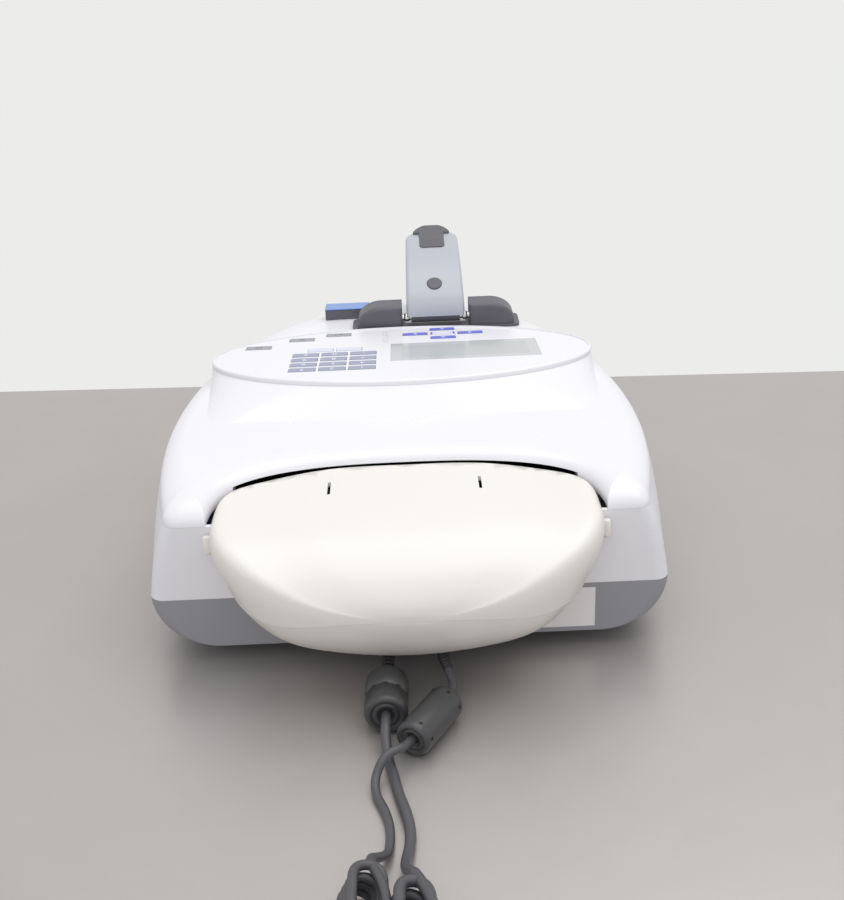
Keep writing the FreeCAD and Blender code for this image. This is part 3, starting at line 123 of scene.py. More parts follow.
def moulded(name, colour, rough, grain=0.5, depth=0.03, tone=0.05, coat=0.0, extra=None, metal=0.0):
    """Moulded plastic: grain size and depth in mm, slow drift in tone, and gloss worn by handling."""
    finish, start = new_finish(name)
    place = start.node("ShaderNodeTexCoord", output="Object")
    drift = place.node("ShaderNodeTexNoise", None, {"Vector": place, "Scale": 11.0, "Detail": 3.0})
    handled = place.node("ShaderNodeTexNoise", None, {"Vector": place, "Scale": 55.0, "Detail": 5.0,
                                                      "Roughness": 0.65})
    pores = place.node("ShaderNodeTexNoise", None, {"Vector": place, "Scale": 0.8 / (grain * MM),
                                                    "Detail": 2.0})
    colouring = drift.blend(deeper(colour, 1 - tone), deeper(colour, 1 + tone))
    if extra:
        colouring = extra(place, colouring)
    normal = place.node("ShaderNodeBump", None, {"Strength": 0.35, "Distance": depth * MM,
                                                 "Height": pores})
    plastic = place.node("ShaderNodeBsdfPrincipled", None, {
        "Base Color": colouring, "Roughness": handled * 0.16 + (rough - 0.08), "Normal": normal,
        "Coat Weight": coat, "Coat Roughness": 0.12, "Metallic": metal})
    plastic.node("ShaderNodeOutputMaterial", None, {"Surface": plastic})
    return finish


def dress(finish, *names):
    """Gives carried-over solids their finish."""
    for name in names:
        for slot in solids[name].material_slots:
            slot.link = "OBJECT"
            slot.material = finish


tray_grey = moulded("tray_grey", paint(152, 152, 157), 0.52, grain=0.7, depth=0.05)
dress(tray_grey, "base_tray")


def settled(maker, name, finish, body):
    """Turns a scratch object into a plain mesh piece at the origin, with its modifiers applied."""
    root.objects.link(maker)
    bpy.context.view_layer.update()
    baked = bpy.data.meshes.new_from_object(maker.evaluated_get(bpy.context.evaluated_depsgraph_get()))
    baked.transform(maker.matrix_world)
    baked.name = name
    baked.materials.clear()
    baked.materials.append(finish)
    for face in baked.polygons:
        face.material_index = 0
    spare = maker.data
    bpy.data.objects.remove(maker)
    if isinstance(spare, bpy.types.Mesh):
        bpy.data.meshes.remove(spare)
    piece = bpy.data.objects.new(name, baked)
    root.objects.link(piece)
    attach(piece, body)
    return piece


STICKER_LEFT, STICKER_RIGHT = -89.0, -46.0
STICKER_LOW, STICKER_HIGH = 11.0, 32.6
STICKER_ROWS, STICKER_COLUMNS = 10, 24
BEHIND_CASE = 190.0
sheet = bmesh.new()
grid = [[sheet.verts.new((MM * (STICKER_LEFT + (STICKER_RIGHT - STICKER_LEFT) * i / STICKER_COLUMNS),
                          MM * BEHIND_CASE,
                          MM * (STICKER_LOW + (STICKER_HIGH - STICKER_LOW) * j / STICKER_ROWS)))
         for i in range(STICKER_COLUMNS + 1)] for j in range(STICKER_ROWS + 1)]
for j in range(STICKER_ROWS):
    for i in range(STICKER_COLUMNS):
        sheet.faces.new((grid[j][i], grid[j + 1][i], grid[j + 1][i + 1], grid[j][i + 1]))
sticker_mesh = bpy.data.meshes.new("sticker_blank")
sheet.to_mesh(sticker_mesh)
sticker_maker = bpy.data.objects.new("sticker_maker", sticker_mesh)
pressed = sticker_maker.modifiers.new("pressed", "SHRINKWRAP")
pressed.target = solids["base_tray"]
pressed.wrap_method = "PROJECT"
pressed.use_project_y = True
pressed.use_negative_direction = True
pressed.use_positive_direction = False
pressed.offset = 0.02 * MM
paper_thickness = sticker_maker.modifiers.new("paper", "SOLIDIFY")
paper_thickness.thickness = 0.12 * MM
paper_thickness.offset = 1.0
sticker_white = moulded("sticker_white", paint(238, 236, 235), 0.42, grain=0.3, depth=0.01, tone=0.02)
settled(sticker_maker, "rating_sticker", sticker_white, "case")


# Case. The lower case, the deck and the oval console are gloss-white ABS mouldings, screwed together
# from below. They meet at fine shadow lines, and the console's back wall carries a faint scuff where
# the instrument has been handled. The console's walls beneath its top face carry painted shade.
SCUFF_LEFT, SCUFF_RIGHT = 8.0, 12.0
SCUFF_LOW, SCUFF_HIGH = 88.0, 91.0
RIM_LEVEL, RIM_SLOPE = 94.0, 0.0963


def scuff_and_painted_wall_shade(place, colouring):
    """Painted shade on the oval's walls beneath its top face, and the scuff on its back."""
    scratches = place.node("ShaderNodeMapping", None, {"Vector": place, "Scale": (900.0, 900.0, 330.0)})
    marks = place.node("ShaderNodeTexNoise", None, {"Vector": scratches, "Scale": 1.0, "Detail": 3.0})
    across, along, height = place.split()
    near = (across > SCUFF_LEFT * MM) * (across < SCUFF_RIGHT * MM)
    level = (height > SCUFF_LOW * MM) * (height < SCUFF_HIGH * MM)
    # Painted shade: the oval's walls below a plane just under its top face are given a greyer white.
    rim = (height - along * RIM_SLOPE) < RIM_LEVEL * MM
    shaded = rim.blend(colouring, paint(222, 221, 226))
    return (near * level * (marks > 0.56) * 0.5).blend(shaded, paint(150, 148, 146))


case_white = moulded("case_white", paint(238, 237, 241), 0.30, grain=0.9, depth=0.012, tone=0.012,
                     coat=0.15)
console_white = moulded("console_white", paint(240, 239, 243), 0.34, grain=0.5, depth=0.02,
                        tone=0.01, coat=0.1, extra=scuff_and_painted_wall_shade)
dress(case_white, "lower_case", "top_cover")
dress(console_white, "console_fascia")


# Display. A grey hard-coated window lies flush in the console over the liquid-crystal module. Switched
# off, the cell shows through it only as a slightly darker field with a soft grey border.
CONSOLE = Matrix.Translation((0.0, -27.75 * MM, 94 * MM)) @ Matrix.Rotation(math.radians(5.5), 4, "X")
CELL_X, CELL_Y = -36.8, -28.9
CELL_HALF_WIDTH, CELL_HALF_DEPTH = 37.0, 14.0


def cell_behind(place, colouring):
    across, along, _ = place.split()
    width = (across - CELL_X * MM).through("ABSOLUTE") < CELL_HALF_WIDTH * MM
    depth = (along - CELL_Y * MM).through("ABSOLUTE") < CELL_HALF_DEPTH * MM
    return (width * depth * 0.5).blend(colouring, paint(176, 179, 180))


window_grey = moulded("window_grey", paint(196, 198, 199), 0.22, grain=0.25, depth=0.006, tone=0.015,
                      coat=0.5, extra=cell_behind)
module_dark = moulded("module_dark", paint(64, 66, 71), 0.45, grain=0.4, depth=0.03)
dress(window_grey, "display_window")
dress(module_dark, "lcd_module", "spectrometer_module", "printer_frame")


# Keys. Low silicone-coated caps stand in the console, moulded in grey-blue, pale lilac, mid grey and
# blue, and the digits and pointers are printed on them in thin ink.
def key_finish(name, colour):
    return moulded(name, colour, 0.5, grain=0.35, depth=0.02, tone=0.04)


NUMBER_KEYS = ("1", "2", "3", "4", "5", "6", "7", "8", "9", "point", "0", "sign")
dress(key_finish("key_number_blue", paint(160, 164, 186)), *["key_" + name for name in NUMBER_KEYS])
dress(key_finish("key_soft_pale", paint(221, 223, 238)), "key_soft_left", "key_soft_right")
dress(key_finish("key_function_grey", paint(164, 164, 170)), "key_power", "key_escape", "key_enter")
dress(key_finish("key_arrow_blue", paint(112, 118, 214)), "key_arrow_up", "key_arrow_down",
      "key_arrow_left", "key_arrow_right")
dress(key_finish("key_centre_white", paint(226, 229, 245)), "key_select")

INK_LEVEL = -0.6
INK_SUNK = 0.01
INK_THICK = 0.06
DIGIT_HIGH = 5.2


def inked(name, colour):
    return moulded(name, colour, 0.38, grain=0.15, depth=0.004, tone=0.03)


ink_white = inked("ink_white", paint(236, 238, 246))
ink_blue = inked("ink_blue", paint(84, 92, 196))
ink_dark = inked("ink_dark", paint(84, 86, 94))


def printed(name, outlines, at, ink, body):
    """Prints flat outlines, given in mm about their key's middle, on the cap's top."""
    print_mesh = bmesh.new()
    for outline in outlines:
        low = [print_mesh.verts.new((x * MM, y * MM, 0)) for x, y in outline]
        high = [print_mesh.verts.new((x * MM, y * MM, INK_THICK * MM)) for x, y in outline]
        print_mesh.faces.new(low)
        print_mesh.faces.new(high)
        for i in range(len(outline)):
            j = (i + 1) % len(outline)
            print_mesh.faces.new((low[i], low[j], high[j], high[i]))
    bmesh.ops.recalc_face_normals(print_mesh, faces=print_mesh.faces)
    flat = bpy.data.meshes.new(name)
    print_mesh.to_mesh(flat)
    maker = bpy.data.objects.new(name + "_maker", flat)
    maker.matrix_world = CONSOLE @ Matrix.Translation((at[0] * MM, at[1] * MM, (INK_LEVEL - INK_SUNK) * MM))
    return settled(maker, name, ink, body)


def written(name, character, at, size, ink, body):
    """Prints one character on a key's cap."""
    type_face = bpy.data.curves.new(name + "_type", "FONT")
    type_face.body = character
    type_face.size = size * MM
    type_face.extrude = INK_THICK * MM / 2
    type_face.align_x = "CENTER"
    type_face.align_y = "CENTER"
    maker = bpy.data.objects.new(name + "_maker", type_face)
    maker.matrix_world = CONSOLE @ Matrix.Translation((at[0] * MM, at[1] * MM, INK_LEVEL * MM))
    return settled(maker, name, ink, body)


NUMBER_COLUMNS = (22.5, 39.4, 56.3)
NUMBER_ROWS = (30.4, 19.6, 8.8, -2.0)
for place, name in enumerate(NUMBER_KEYS):
    middle = (NUMBER_COLUMNS[place % 3], NUMBER_ROWS[place // 3])
    body = "key_" + name + "_body"
    if name == "point":
        dot = [(0.55 * math.cos(math.tau * i / 16), 0.55 * math.sin(math.tau * i / 16) - 1.2)
               for i in range(16)]
        printed("digit_point", [dot], middle, ink_white, body)
    elif name == "sign":
        bars = [[(-1.3, 0.5), (1.3, 0.5), (1.3, 0.95), (-1.3, 0.95)],
                [(-0.22, 0.95), (0.22, 0.95), (0.22, 2.0), (-0.22, 2.0)],
                [(-0.22, -0.55), (0.22, -0.55), (0.22, 0.5), (-0.22, 0.5)],
                [(-1.3, -1.7), (1.3, -1.7), (1.3, -1.25), (-1.3, -1.25)]]
        printed("digit_sign", bars, middle, ink_white, body)
    else:
        written("digit_" + name, name, middle, DIGIT_HIGH, ink_white, body)

pointer = [(-1.7, -0.9), (1.7, -0.9), (0.0, 1.2)]
POINTERS = {"up": (-25.3, -32.2, 0), "left": (-42.2, -42.0, 90), "down": (-25.3, -53.4, 180),
            "right": (-8.3, -43.0, 270)}
for way, (x, y, turn) in POINTERS.items():
    swing = Matrix.Rotation(math.radians(turn), 2)
    turned = [tuple(swing @ Vector(point)) for point in pointer]
    printed("pointer_" + way, [turned], (x, y), ink_white, "key_arrow_" + way + "_body")

ticks = [[(-7.2, -2.75), (-6.3, -2.75), (-6.3, 2.75), (-7.2, 2.75)],
         [(6.3, -2.75), (7.2, -2.75), (7.2, 2.75), (6.3, 2.75)],
         [(-5.2, -0.35), (-4.3, -0.35), (-4.3, 0.35), (-5.2, 0.35)],
         [(4.3, -0.35), (5.2, -0.35), (5.2, 0.35), (4.3, 0.35)]]
printed("centre_marks", ticks, (-25.3, -42.8), ink_blue, "key_select_body")

RING_STEPS = 20
ring_turns = [math.radians(140 + 260 * i / RING_STEPS) for i in range(RING_STEPS + 1)]
ring = [(2.1 * math.cos(turn), 2.1 * math.sin(turn)) for turn in ring_turns]
ring += [(1.6 * math.cos(turn), 1.6 * math.sin(turn)) for turn in reversed(ring_turns)]
printed("mark_power", [ring, [(-0.25, 0.3), (0.25, 0.3), (0.25, 2.5), (-0.25, 2.5)]], (86.1, -23.9),
        ink_dark, "key_power_body")
cross = [(-1.7, -1.3), (-1.3, -1.7), (1.7, 1.3), (1.3, 1.7)]
printed("mark_escape", [cross, [(-x, y) for x, y in reversed(cross)]], (61.2, -39.8), ink_dark,
        "key_escape_body")
bent = [(-2.6, -0.3), (-1.2, 0.9), (-1.2, -0.05), (2.0, -0.05), (2.0, 1.7), (2.5, 1.7), (2.5, -0.55),
        (-1.2, -0.55), (-1.2, -1.5)]
printed("mark_enter", [bent], (39.0, -48.9), ink_dark, "key_enter_body")


# Boards. The keypad and main boards are glass-fibre laminate under green solder resist, screwed inside
# the case and out of sight once the deck is on.
def traced(place, colouring):
    tracks = place.node("ShaderNodeTexBrick", None, {"Vector": place, "Scale": 60.0,
                                                     "Mortar Size": 0.03}, 1)
    return (tracks * 0.4).blend(colouring, paint(70, 138, 92))


board_green = moulded("board_green", paint(38, 104, 62), 0.36, grain=0.6, depth=0.02, extra=traced)
dress(board_green, "keypad_board", "main_board")


# Arm and hinge. A light grey painted arm stands open on a charcoal bridge between two moulded cheeks,
# pinned with bright steel. Its grip and plug are soft grey, and under it are the two polished optics
# and the steel stage that take the drop.
arm_grey = moulded("arm_grey", paint(184, 186, 194), 0.34, grain=0.25, depth=0.015, tone=0.02, coat=0.1)
cheek_charcoal = moulded("cheek_charcoal", paint(92, 91, 99), 0.42, grain=0.6, depth=0.05, tone=0.06)
grip_grey = moulded("grip_grey", paint(94, 94, 99), 0.48, grain=0.4, depth=0.04)
dress(arm_grey, "arm_cover")
dress(cheek_charcoal, "hinge_bridge", "badge_block", "arm_chassis")
dress(grip_grey, "arm_grip", "arm_plug")


def steel(name, colour, rough, lines):
    """Turned or ground steel, with its tool lines across Z."""
    finish, start = new_finish(name)
    place = start.node("ShaderNodeTexCoord", output="Object")
    stretched = place.node("ShaderNodeMapping", None, {"Vector": place, "Scale": (40.0, 40.0, lines)})
    marks = place.node("ShaderNodeTexNoise", None, {"Vector": stretched, "Scale": 1.0, "Detail": 4.0})
    normal = place.node("ShaderNodeBump", None, {"Strength": 0.12, "Distance": 0.01 * MM,
                                                 "Height": marks})
    metal = place.node("ShaderNodeBsdfPrincipled", None, {
        "Base Color": marks.blend(deeper(colour, 0.92), colour), "Metallic": 1.0,
        "Roughness": marks * 0.12 + (rough - 0.06), "Normal": normal})
    metal.node("ShaderNodeOutputMaterial", None, {"Surface": metal})
    return finish


pin_steel = steel("pin_steel", paint(214, 214, 215), 0.24, 2200.0)
dress(pin_steel, "hinge_pin", "sample_stage", "case_screws")
dress(steel("optic_steel", paint(228, 228, 229), 0.1, 3000.0), "upper_optic", "lower_optic")

# Badge cap. The small charcoal block beside the hinge is capped with a thin glossy blue plate, left
# blank, that is pressed on its top.
CAP_INSET, CAP_THICK, CAP_GAP = 0.3, 0.9, 0.02
block_low, block_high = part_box("badge_block")
cap_middle = (block_low + block_high) / 2
cap_middle.z = block_high.z + (CAP_THICK / 2 + CAP_GAP) * MM
cap_size = block_high - block_low - Vector((2 * CAP_INSET * MM, 2 * CAP_INSET * MM, 0.0))
cap_size.z = CAP_THICK * MM
cap_mesh = bmesh.new()
bmesh.ops.create_cube(cap_mesh, size=1.0)
cap_data = bpy.data.meshes.new("badge_cap")
cap_mesh.to_mesh(cap_data)
cap_data.transform(Matrix.Translation(cap_middle) @ Matrix.Diagonal((*cap_size, 1.0)))
cap_maker = bpy.data.objects.new("badge_cap_maker", cap_data)
softened = cap_maker.modifiers.new("softened", "BEVEL")
softened.width = 0.3 * MM
softened.segments = 3
cap_blue = moulded("cap_blue", paint(96, 140, 214), 0.16, grain=0.2, depth=0.003, tone=0.02, coat=0.6)
settled(cap_maker, "badge_cap", cap_blue, "case")

# Feet and roller. Four black rubber feet are pushed into the tray, and the printer's rubber platen turns
# in its dark frame against a roll of thermal paper.
rubber_black = moulded("rubber_black", paint(44, 44, 45), 0.7, grain=0.5, depth=0.06)
dress(rubber_black, "feet", "platen_roller")


def wound(place, colouring):
    across, _, _ = place.split()
    edges = (across * 9000.0).through("SINE")
    return (edges * 0.04 + 0.04).blend(colouring, paint(196, 194, 190))


paper_white = moulded("paper_white", paint(240, 240, 238), 0.62, grain=0.12, depth=0.01, tone=0.01,
                      extra=wound)
dress(paper_white, "paper_roll")

# Printer pod. The egg-shaped pod on the back is a warmer white than the case. Its bowl is screwed to the
# case, and its cover lifts off on two side tabs for a new roll.
pod_white = moulded("pod_white", paint(238, 234, 228), 0.33, grain=0.9, depth=0.014, tone=0.012,
                    coat=0.12)
dress(pod_white, "pod_base", "pod_cover")


FULLEST_X, FULLEST_SPREAD = 64.0, 27.0
FULLER_BELOW, FULLER_OVER = 70.0, 34.0
DRAWN_OUT = 7.0


def fuller(name, node, body):
    """A copy of a pod moulding, its lower sides drawn out as round as the real bowl's."""
    whole = bmesh.new()
    whole.from_mesh(solids[node].data)
    bmesh.ops.remove_doubles(whole, verts=whole.verts, dist=0.001 * MM)
    for vertex in whole.verts:
        aside = math.exp(-((abs(vertex.co.x) / MM - FULLEST_X) / FULLEST_SPREAD) ** 2)
        share = min(max((FULLER_BELOW - vertex.co.z / MM) / FULLER_OVER, 0.0), 1.0)
        vertex.co.z -= DRAWN_OUT * MM * aside * share * share * (3 - 2 * share)
    shell = bpy.data.meshes.new(name + "_maker")
    whole.to_mesh(shell)
    for face in shell.polygons:
        face.use_smooth = True
    shell.set_sharp_from_angle(angle=math.radians(30))
    maker = bpy.data.objects.new(name + "_maker", shell)
    evened = maker.modifiers.new("evened", "WEIGHTED_NORMAL")
    evened.keep_sharp = True
    evened.weight = 100
    piece = settled(maker, name, pod_white, body)
    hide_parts(node)


fuller("pod_bowl", "pod_base", "case")
fuller("pod_lid_shell", "pod_cover", "pod_lid")

# Sockets and plugs. The mains adaptor's barrel socket and the square data socket sit in the back wall
# beneath the pod. Each takes a moulded plug, and the shells are stamped nickel steel.
socket_black = moulded("socket_black", paint(48, 48, 51), 0.5, grain=0.4, depth=0.03)
dress(socket_black, "power_socket", "power_plug", "usb_plug", "power_connector")
dress(steel("socket_metal", paint(205, 205, 207), 0.3, 900.0), "usb_socket")

# Leads. Two dark grey leads leave under the pod, twist round each other and end in a folded hank. They
# are stranded copper in soft PVC, each as one smooth run with its spare length folded over and over
# itself under a tie.
POWER_LEAD = 4.5
USB_LEAD = 3.8
POWER_ROUTE = ((11, 158.7, 17), (11, 163.4, 17), (11.3, 171, 12.6), (11.9, 178.6, 9.9),
               (12.5, 213.3, 9.9), (12.8, 220.5, 6.2), (11.6, 230, 2.5), (9.2, 241, 2.3),
               (7.4, 252, 2.4), (4.6, 263, 3.4), (2.6, 274, 2.5), (3.2, 284, 2.4), (4.8, 293, 4),
               (4.6, 301, 8), (2.6, 308.5, 13.4), (0.8, 314.6, 18.2))
USB_ROUTE = ((-14, 168.7, 17), (-14, 174.2, 17), (-16.6, 181.5, 12.9), (-19.2, 190.6, 8.4),
             (3.2, 228.2, 8.4), (7.2, 232.6, 10.4), (13.4, 236.6, 9.6), (17.4, 243.6, 4),
             (16.8, 252, 2.1), (13.2, 260.5, 2), (11, 270, 2), (10.8, 279.5, 2), (11.6, 287.5, 3),
             (14.6, 293.5, 7), (19.2, 301, 14))


def sheath(name, colour):
    """Soft PVC: a dull skin with fine draw lines and dust in its dips."""
    finish, start = new_finish(name)
    place = start.node("ShaderNodeTexCoord", output="Object")
    dust = place.node("ShaderNodeTexNoise", None, {"Vector": place, "Scale": 120.0, "Detail": 5.0})
    skin = place.node("ShaderNodeTexNoise", None, {"Vector": place, "Scale": 1500.0, "Detail": 2.0})
    normal = place.node("ShaderNodeBump", None, {"Strength": 0.3, "Distance": 0.03 * MM,
                                                 "Height": skin})
    vinyl = place.node("ShaderNodeBsdfPrincipled", None, {
        "Base Color": dust.blend(deeper(colour, 0.82), deeper(colour, 1.18)),
        "Roughness": dust * 0.2 + 0.34, "Normal": normal})
    vinyl.node("ShaderNodeOutputMaterial", None, {"Surface": vinyl})
    return finish


lead_grey = sheath("lead_grey", paint(82, 81, 85))
dress(lead_grey, "power_cord", "usb_cord", "power_hank", "usb_hank", "usb_connector")


HANK_LAYERS = 5
HANK_FAN = 6.4
LAYER_GAP = 0.05
REAR_TURN = (157.5, 112.5, 67.5, 22.5)
FRONT_TURN = ((0.15, 337.5), (0.4, 292.5), (0.65, 247.5), (0.9, 202.5))


def folded(middle, front, rear, radius, thick, out_at):
    """The hank's points in mm: turns wound from the top layer down, and the run that leaves at the rear."""
    reach = radius / math.cos(math.radians(22.5))
    points = []
    for layer in range(HANK_LAYERS):
        height = thick / 2 + (thick + LAYER_GAP) * (HANK_LAYERS - 1 - layer)
        lower = thick / 2 + (thick + LAYER_GAP) * max(HANK_LAYERS - 2 - layer, 0)
        lean = HANK_FAN * (layer / (HANK_LAYERS - 1) - 0.5)
        next_lean = HANK_FAN * ((layer + 1) / (HANK_LAYERS - 1) - 0.5)
        left, right = middle - radius + lean, middle + radius + lean
        near = front + radius + (2.2 * layer) % 3
        far = rear - radius - 1.6 * (layer % 2)
        half_way = (near + far) / 2
        points += [(left, near + 8, height), (left - 0.25, half_way, height), (left, far - 6, height)]
        if layer == HANK_LAYERS - 1:
            points += [(left + 0.6, far + 4, height), out_at]
            break
        for angle in REAR_TURN:
            turn = math.radians(angle)
            points.append((middle + lean + reach * math.cos(turn), far + reach * math.sin(turn),
                           height))
        points += [(right, far - 8, height), (right + 0.2, half_way, height), (right, near + 8, height)]
        for share, angle in FRONT_TURN:
            turn = math.radians(angle)
            sideways = middle + lean + (next_lean - lean) * share
            points.append((sideways + reach * math.cos(turn), near + reach * math.sin(turn),
                           height + (lower - height) * share))
    return points


def lead(name, points, thick):
    """One smooth free run through its control points."""
    run = bpy.data.curves.new(name, "CURVE")
    run.dimensions = "3D"
    spline = run.splines.new("NURBS")
    spline.points.add(len(points) - 1)
    for knot, point in zip(spline.points, points):
        knot.co = (*(value * MM for value in point), 1.0)
    spline.order_u = 3
    spline.use_endpoint_u = True
    run.resolution_u = 8
    run.bevel_depth = thick / 2 * MM
    run.bevel_resolution = 5
    run.use_fill_caps = True
    run.materials.append(lead_grey)
    piece = bpy.data.objects.new(name, run)
    root.objects.link(piece)
    return piece


def centre_line(piece):
    """Points along a lead's middle, in metres, read from its spline with the sheath off."""
    bare = piece.data.copy()
    bare.bevel_depth = 0
    bare.use_fill_caps = False
    holder = bpy.data.objects.new("holder", bare)
    root.objects.link(holder)
    bpy.context.view_layer.update()
    mesh = bpy.data.meshes.new_from_object(holder.evaluated_get(
        bpy.context.evaluated_depsgraph_get()))
    points = [vertex.co.copy() for vertex in mesh.vertices]
    bpy.data.objects.remove(holder)
    bpy.data.curves.remove(bare)
    bpy.data.meshes.remove(mesh)
    return points


HANK_REAR = 390.0
power_lead = lead("power_lead", [*POWER_ROUTE, *folded(3.7, 318.0, HANK_REAR, 6.25, POWER_LEAD,
                                                       (3.7, 398.6, 5.4))], POWER_LEAD)
usb_lead = lead("usb_lead", [*USB_ROUTE, *folded(20.7, 306.0, HANK_REAR, 6.3, USB_LEAD,
                                                 (20.7, 398.6, 4.0))], USB_LEAD)
power_line = centre_line(power_lead)
usb_line = centre_line(usb_lead)


def run_length(line):
    return sum((b - a).length for a, b in zip(line, line[1:]))


def stretch(line, start, end):
    """The part of a line between two distances along it, in mm."""
    kept = []
    passed = 0.0
    for a, b in zip(line, line[1:]):
        if start * MM <= passed <= end * MM:
            kept.append(a)
        passed += (b - a).length
    return kept


def sleeve(name, line, profile, finish, body, sides=28):
    """A round sleeve along a line: the profile gives (share of the way, radius in mm)."""
    tube = bmesh.new()
    side = Vector((1, 0, 0))
    rings = []
    total = run_length(line)
    for share, radius in profile:
        goal = share * total
        passed = 0.0
        for a, b in zip(line, line[1:]):
            step = (b - a).length
            if passed + step >= goal - 1e-9 or b is line[-1]:
                along = (b - a).normalized()
                middle = a + along * min(goal - passed, step)
                break
            passed += step
        side = (side - along * side.dot(along)).normalized()
        up = along.cross(side)
        turns = [math.tau * i / sides for i in range(sides)]
        rings.append([tube.verts.new(middle + (side * math.cos(turn) + up * math.sin(turn)) * radius * MM)
                      for turn in turns])
    for first, second in zip(rings, rings[1:]):
        for i in range(sides):
            j = (i + 1) % sides
            tube.faces.new((first[i], first[j], second[j], second[i]))
    for i in range(sides):
        j = (i + 1) % sides
        tube.faces.new((rings[-1][i], rings[-1][j], rings[0][j], rings[0][i]))
    bmesh.ops.recalc_face_normals(tube, faces=tube.faces)
    data = bpy.data.meshes.new(name)
    tube.to_mesh(data)
    for face in data.polygons:
        face.use_smooth = True
    data.materials.append(finish)
    piece = bpy.data.objects.new(name, data)
    root.objects.link(piece)
    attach(piece, body)
    return piece


# Strain reliefs. Each lead leaves its plug and enters its connector through a tapered boot of the same
# soft PVC, with shallow rings so that it bends evenly.
BOOT_RINGS = 9


def boot(name, line, thick, wide):
    """A boot from its wide end to its narrow one, a ring every tenth of the way."""
    profile = [(0.0, thick / 2 + 0.02), (0.0, wide)]
    for i in range(BOOT_RINGS):
        share = 0.06 + 0.1 * i
        radius = wide + (thick / 2 + 0.35 - wide) * share
        profile += [(share, radius), (share + 0.02, radius - 0.3), (share + 0.05, radius - 0.3),
                    (share + 0.07, radius - 0.04)]
    profile += [(1.0, thick / 2 + 0.3), (1.0, thick / 2 + 0.02)]
    return sleeve(name, line, profile, socket_black, "case")


power_boot = boot("power_boot", stretch(power_line, 0.0, 21.0), POWER_LEAD, 3.7)
usb_boot = boot("usb_boot", stretch(usb_line, 0.0, 14.0), USB_LEAD, 3.1)
power_total = run_length(power_line) / MM
usb_total = run_length(usb_line) / MM
power_tail = boot("power_tail", list(reversed(stretch(power_line, power_total - 20, power_total))),
                  POWER_LEAD, 3.8)
usb_tail = boot("usb_tail", list(reversed(stretch(usb_line, usb_total - 16, usb_total))), USB_LEAD, 3.2)


# Ferrites. Each lead runs through a round ferrite overmoulded in charcoal plastic. The ends are rounded
# and recessed about the lead, one barrel has a ring of vent slots, and the other has four small holes.
ferrite_grey = moulded("ferrite_grey", paint(66, 66, 68), 0.36, grain=0.5, depth=0.03, tone=0.08)
slot_black = moulded("slot_black", paint(22, 22, 23), 0.7, grain=0.5, depth=0.03)


def barrel(name, foot, head, radius, long, bore, ahead, node, groove):
    """The moulded barrel on one straight leg of a route, turned from its profile."""
    foot, head = Vector(foot) * MM, Vector(head) * MM
    along = (head - foot).normalized()
    line = [foot + along * (ahead * MM), foot + along * ((ahead + long) * MM)]
    end = [(1.8, bore), (1.8, bore + 1.3), (0.7, bore + 1.7), (0.5, radius * 0.56), (1.1, radius * 0.6),
           (1.1, radius * 0.66), (0.35, radius * 0.7), (0.0, radius * 0.76), (0.25, radius * 0.87),
           (0.9, radius * 0.95), (1.9, radius * 0.99), (3.2, radius)]
    profile = [(x / long, r) for x, r in end]
    if groove:
        profile += [((groove - 0.5) / long, radius), ((groove - 0.35) / long, radius - 0.3),
                    ((groove + 0.35) / long, radius - 0.3), ((groove + 0.5) / long, radius)]
    profile += [(1 - x / long, r) for x, r in reversed(end)]
    piece = sleeve(name, line, profile, ferrite_grey, "case", sides=56)
    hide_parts(node)
    return piece, line[0], along


power_barrel, power_foot, power_along = barrel("power_barrel", POWER_ROUTE[3], POWER_ROUTE[4], 9.8, 27,
                                               POWER_LEAD / 2 + 0.1, 3.85, "power_ferrite", 15.0)
usb_barrel, usb_foot, usb_along = barrel("usb_barrel", USB_ROUTE[3], USB_ROUTE[4], 8.3, 33,
                                         USB_LEAD / 2 + 0.1, 7.7, "usb_ferrite", 0.0)


